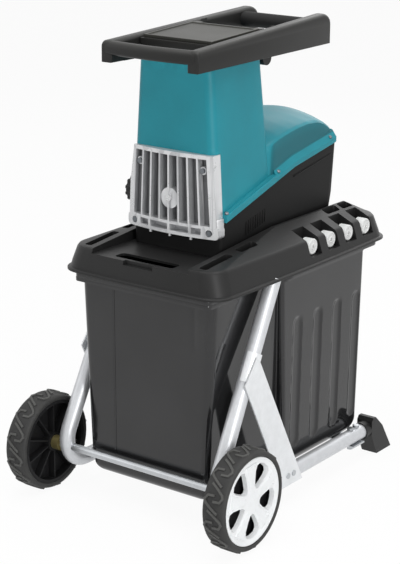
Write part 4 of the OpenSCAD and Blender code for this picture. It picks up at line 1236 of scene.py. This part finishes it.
def vent_rib():
    bm = bmesh.new()
    block(bm, (-0.9, 0.9), (-1.1, 1.1), (-14.0, 14.0))
    return soften(plain_object("vent_rib", bm), 0.7, 2)


def housing_tub():
    """The lower shell with its ledge under the flange and its upright vent ribs."""
    shell = soften(copy_of("lower_housing", "tub_shell"), 1.6, 3, 30.0)
    ledge = bmesh.new()
    places = []
    x, first, level = VENT_AT
    for side in (1, -1):
        path = [(side * LEDGE_X, y, seam(y) - LEDGE_DOWN) for y in (100.0, 140.0, 180.0, 220.0, 238.0)]
        swept(ledge, path, LEDGE_R, 12)
        for k in range(VENT_RIBS):
            along = VENT_STEP * k
            places.append(((side * x, first + along, level + VENT_RISE * along), (0.0, 0.0, 0.0)))
    line = smooth(plain_object("tub_ledge", ledge))
    ribs = repeated("tub_vent_ribs", vent_rib(), places, TUB_BLACK)
    dress(joined("housing_tub", [shell, line, ribs]), TUB_BLACK, "root", "lower_housing")


def moulded_copies():
    """Pieces whose solid shape is right and only wants its mould's rounded edges."""
    for node, name, width, finish, body, slot in (
        ("rear_handle", "handle_grip", 2.0, GRIP, "root", "black_shell"),
        ("hopper_lid", "mouth_lid", 1.4, LID_BLACK, "lid", "black_shell"),
        ("adjusting_knob", "ridged_knob", 1.2, BLACK, "knob", "black_shell"),
        ("switch_plate", "control_plate", 1.0, DARK, "root", "black_shell"),
        ("direction_selector", "selector_bar", 1.0, BLACK, "selector", "black_shell"),
        ("start_button", "start_cap", 1.2, START_GREEN, "start", "start_green"),
        ("stop_button", "stop_cap", 1.2, STOP_RED, "stop", "stop_red"),
        ("power_inlet", "inlet_shroud", 1.0, DARK, "root", "black_shell"),
    ):
        rounded_copy(node, name, width, 3, 30.0, finish, body)


def carried_nodes():
    """Nodes that stay as they are and take a finish."""
    finishes = {
        "axle_bushes": BRASS, "axle_clips": STEEL, "brace_rivets": STRAP_STEEL, "strap_bolts": STEEL,
        "casting_screws": TOOL_STEEL, "bearing_cap": CAST, "lid_hinge_pin": STEEL,
        "cutting_roller": TOOL_STEEL, "roller_bearings": STEEL, "roller_gear": TOOL_STEEL,
        "motor_rotor": TOOL_STEEL, "motor_case": MOTOR_STEEL, "gear_plate": STRAP_STEEL,
        "counter_plate": TOOL_STEEL,
    }
    for node, finish in finishes.items():
        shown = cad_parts[node]
        shown.data.materials.clear()
        shown.data.materials.append(finish)


# Studio


def white_where_seen(nodes, output, plain, white, rays, share):
    """Plain for the light that falls on the object, white to the rays that are named."""
    path = nodes.node("ShaderNodeLightPath", {}, {})
    seen = 0.0
    for ray in rays:
        seen = nodes.math("MAXIMUM", seen, path.outputs["Is " + ray + " Ray"])
    mix = nodes.node("ShaderNodeMixShader", {}, {"Fac": seen * share, 1: plain, 2: white})
    nodes.node(output, {}, {"Surface": mix.outputs["Shader"]})


def studio_floor():
    rings = []
    for radius in (0.01, 2600.0, 9000.0):
        rings.append([(x, y, FLOOR_Z) for x, y in arc((0, 0), radius, 0, 360, 64)[:-1]])
    floor = lofted("studio_floor", rings, False, False)
    material = bpy.data.materials.new("pale_floor")
    material.use_nodes = True
    nodes = Nodes(material.node_tree)
    matt = nodes.node("ShaderNodeBsdfDiffuse", {}, {"Color": shade(WHITE, 0.9)}).outputs["BSDF"]
    glow = nodes.node("ShaderNodeEmission", {}, {"Color": WHITE}).outputs["Emission"]
    white_where_seen(nodes, "ShaderNodeOutputMaterial", matt, glow, ("Camera", "Glossy"), FLOOR_WHITE)
    floor.data.materials.append(material)


def studio_world():
    world = bpy.data.worlds.new("white_studio")
    bpy.context.scene.world = world
    world.use_nodes = True
    nodes = Nodes(world.node_tree)
    soft, white = [
        nodes.node("ShaderNodeBackground", {}, {"Color": WHITE, "Strength": strength}).outputs["Background"]
        for strength in (SOFT_LIGHT, 1.0)
    ]
    rays = ("Camera", "Glossy", "Transmission")
    white_where_seen(nodes, "ShaderNodeOutputWorld", soft, white, rays, 1.0)


def lamp(name, place, target, size, watts):
    data = bpy.data.lights.new(name, "AREA")
    data.shape = "RECTANGLE"
    data.size = size[0]
    data.size_y = size[1]
    data.energy = watts
    made = in_scene(name, data)
    made.location = place
    made.rotation_euler = (Vector(target) - Vector(place)).to_track_quat("-Z", "Y").to_euler()


def studio_lamps():
    lamp("overhead_bank", (0.4, -0.6, 3.4), (0.0, 0.0, 0.5), (3.2, 3.2), 90)
    lamp("front_left_bank", (-3.0, -2.6, 2.0), (0.0, 0.0, 0.5), (2.0, 2.4), 12)
    lamp("corner_strip", (3.0, -1.85, 1.2), (0.0, -0.1, 0.7), (0.5, 2.2), 46)
    lamp("right_bank", (3.4, -0.4, 1.6), (0.0, 0.1, 0.5), (2.2, 2.6), 6)
    lamp("rear_bank", (-0.6, 3.4, 2.2), (0.0, 0.1, 0.6), (2.6, 2.0), 26)


def camera():
    data = bpy.data.cameras.new("photo_camera")
    made = in_scene("photo_camera", data)
    data.sensor_fit = "AUTO"
    data.sensor_width = SENSOR
    data.lens = SENSOR * FOCAL_LENGTH / PICTURE_HEIGHT
    data.shift_x, data.shift_y = CAMERA_SHIFT
    look = (Vector(CAMERA_TO) - Vector(CAMERA_AT)).to_track_quat("-Z", "Y").to_matrix().to_4x4()
    made.matrix_world = Matrix.Translation(CAMERA_AT) @ look @ Matrix.Rotation(CAMERA_ROLL, 4, "Z")
    bpy.context.scene.camera = made


camera()
studio_floor()
studio_world()
studio_lamps()
wheels()
collecting_box()
deck()
shoulder_discs()
tube_frame()
hopper()
motor_cover()
cover_screws()
front_casting()
rail_frame()
housing_tub()
moulded_copies()
carried_nodes()

scene = bpy.context.scene
scene.view_settings.view_transform = "Standard"
bpy.context.view_layer.update()
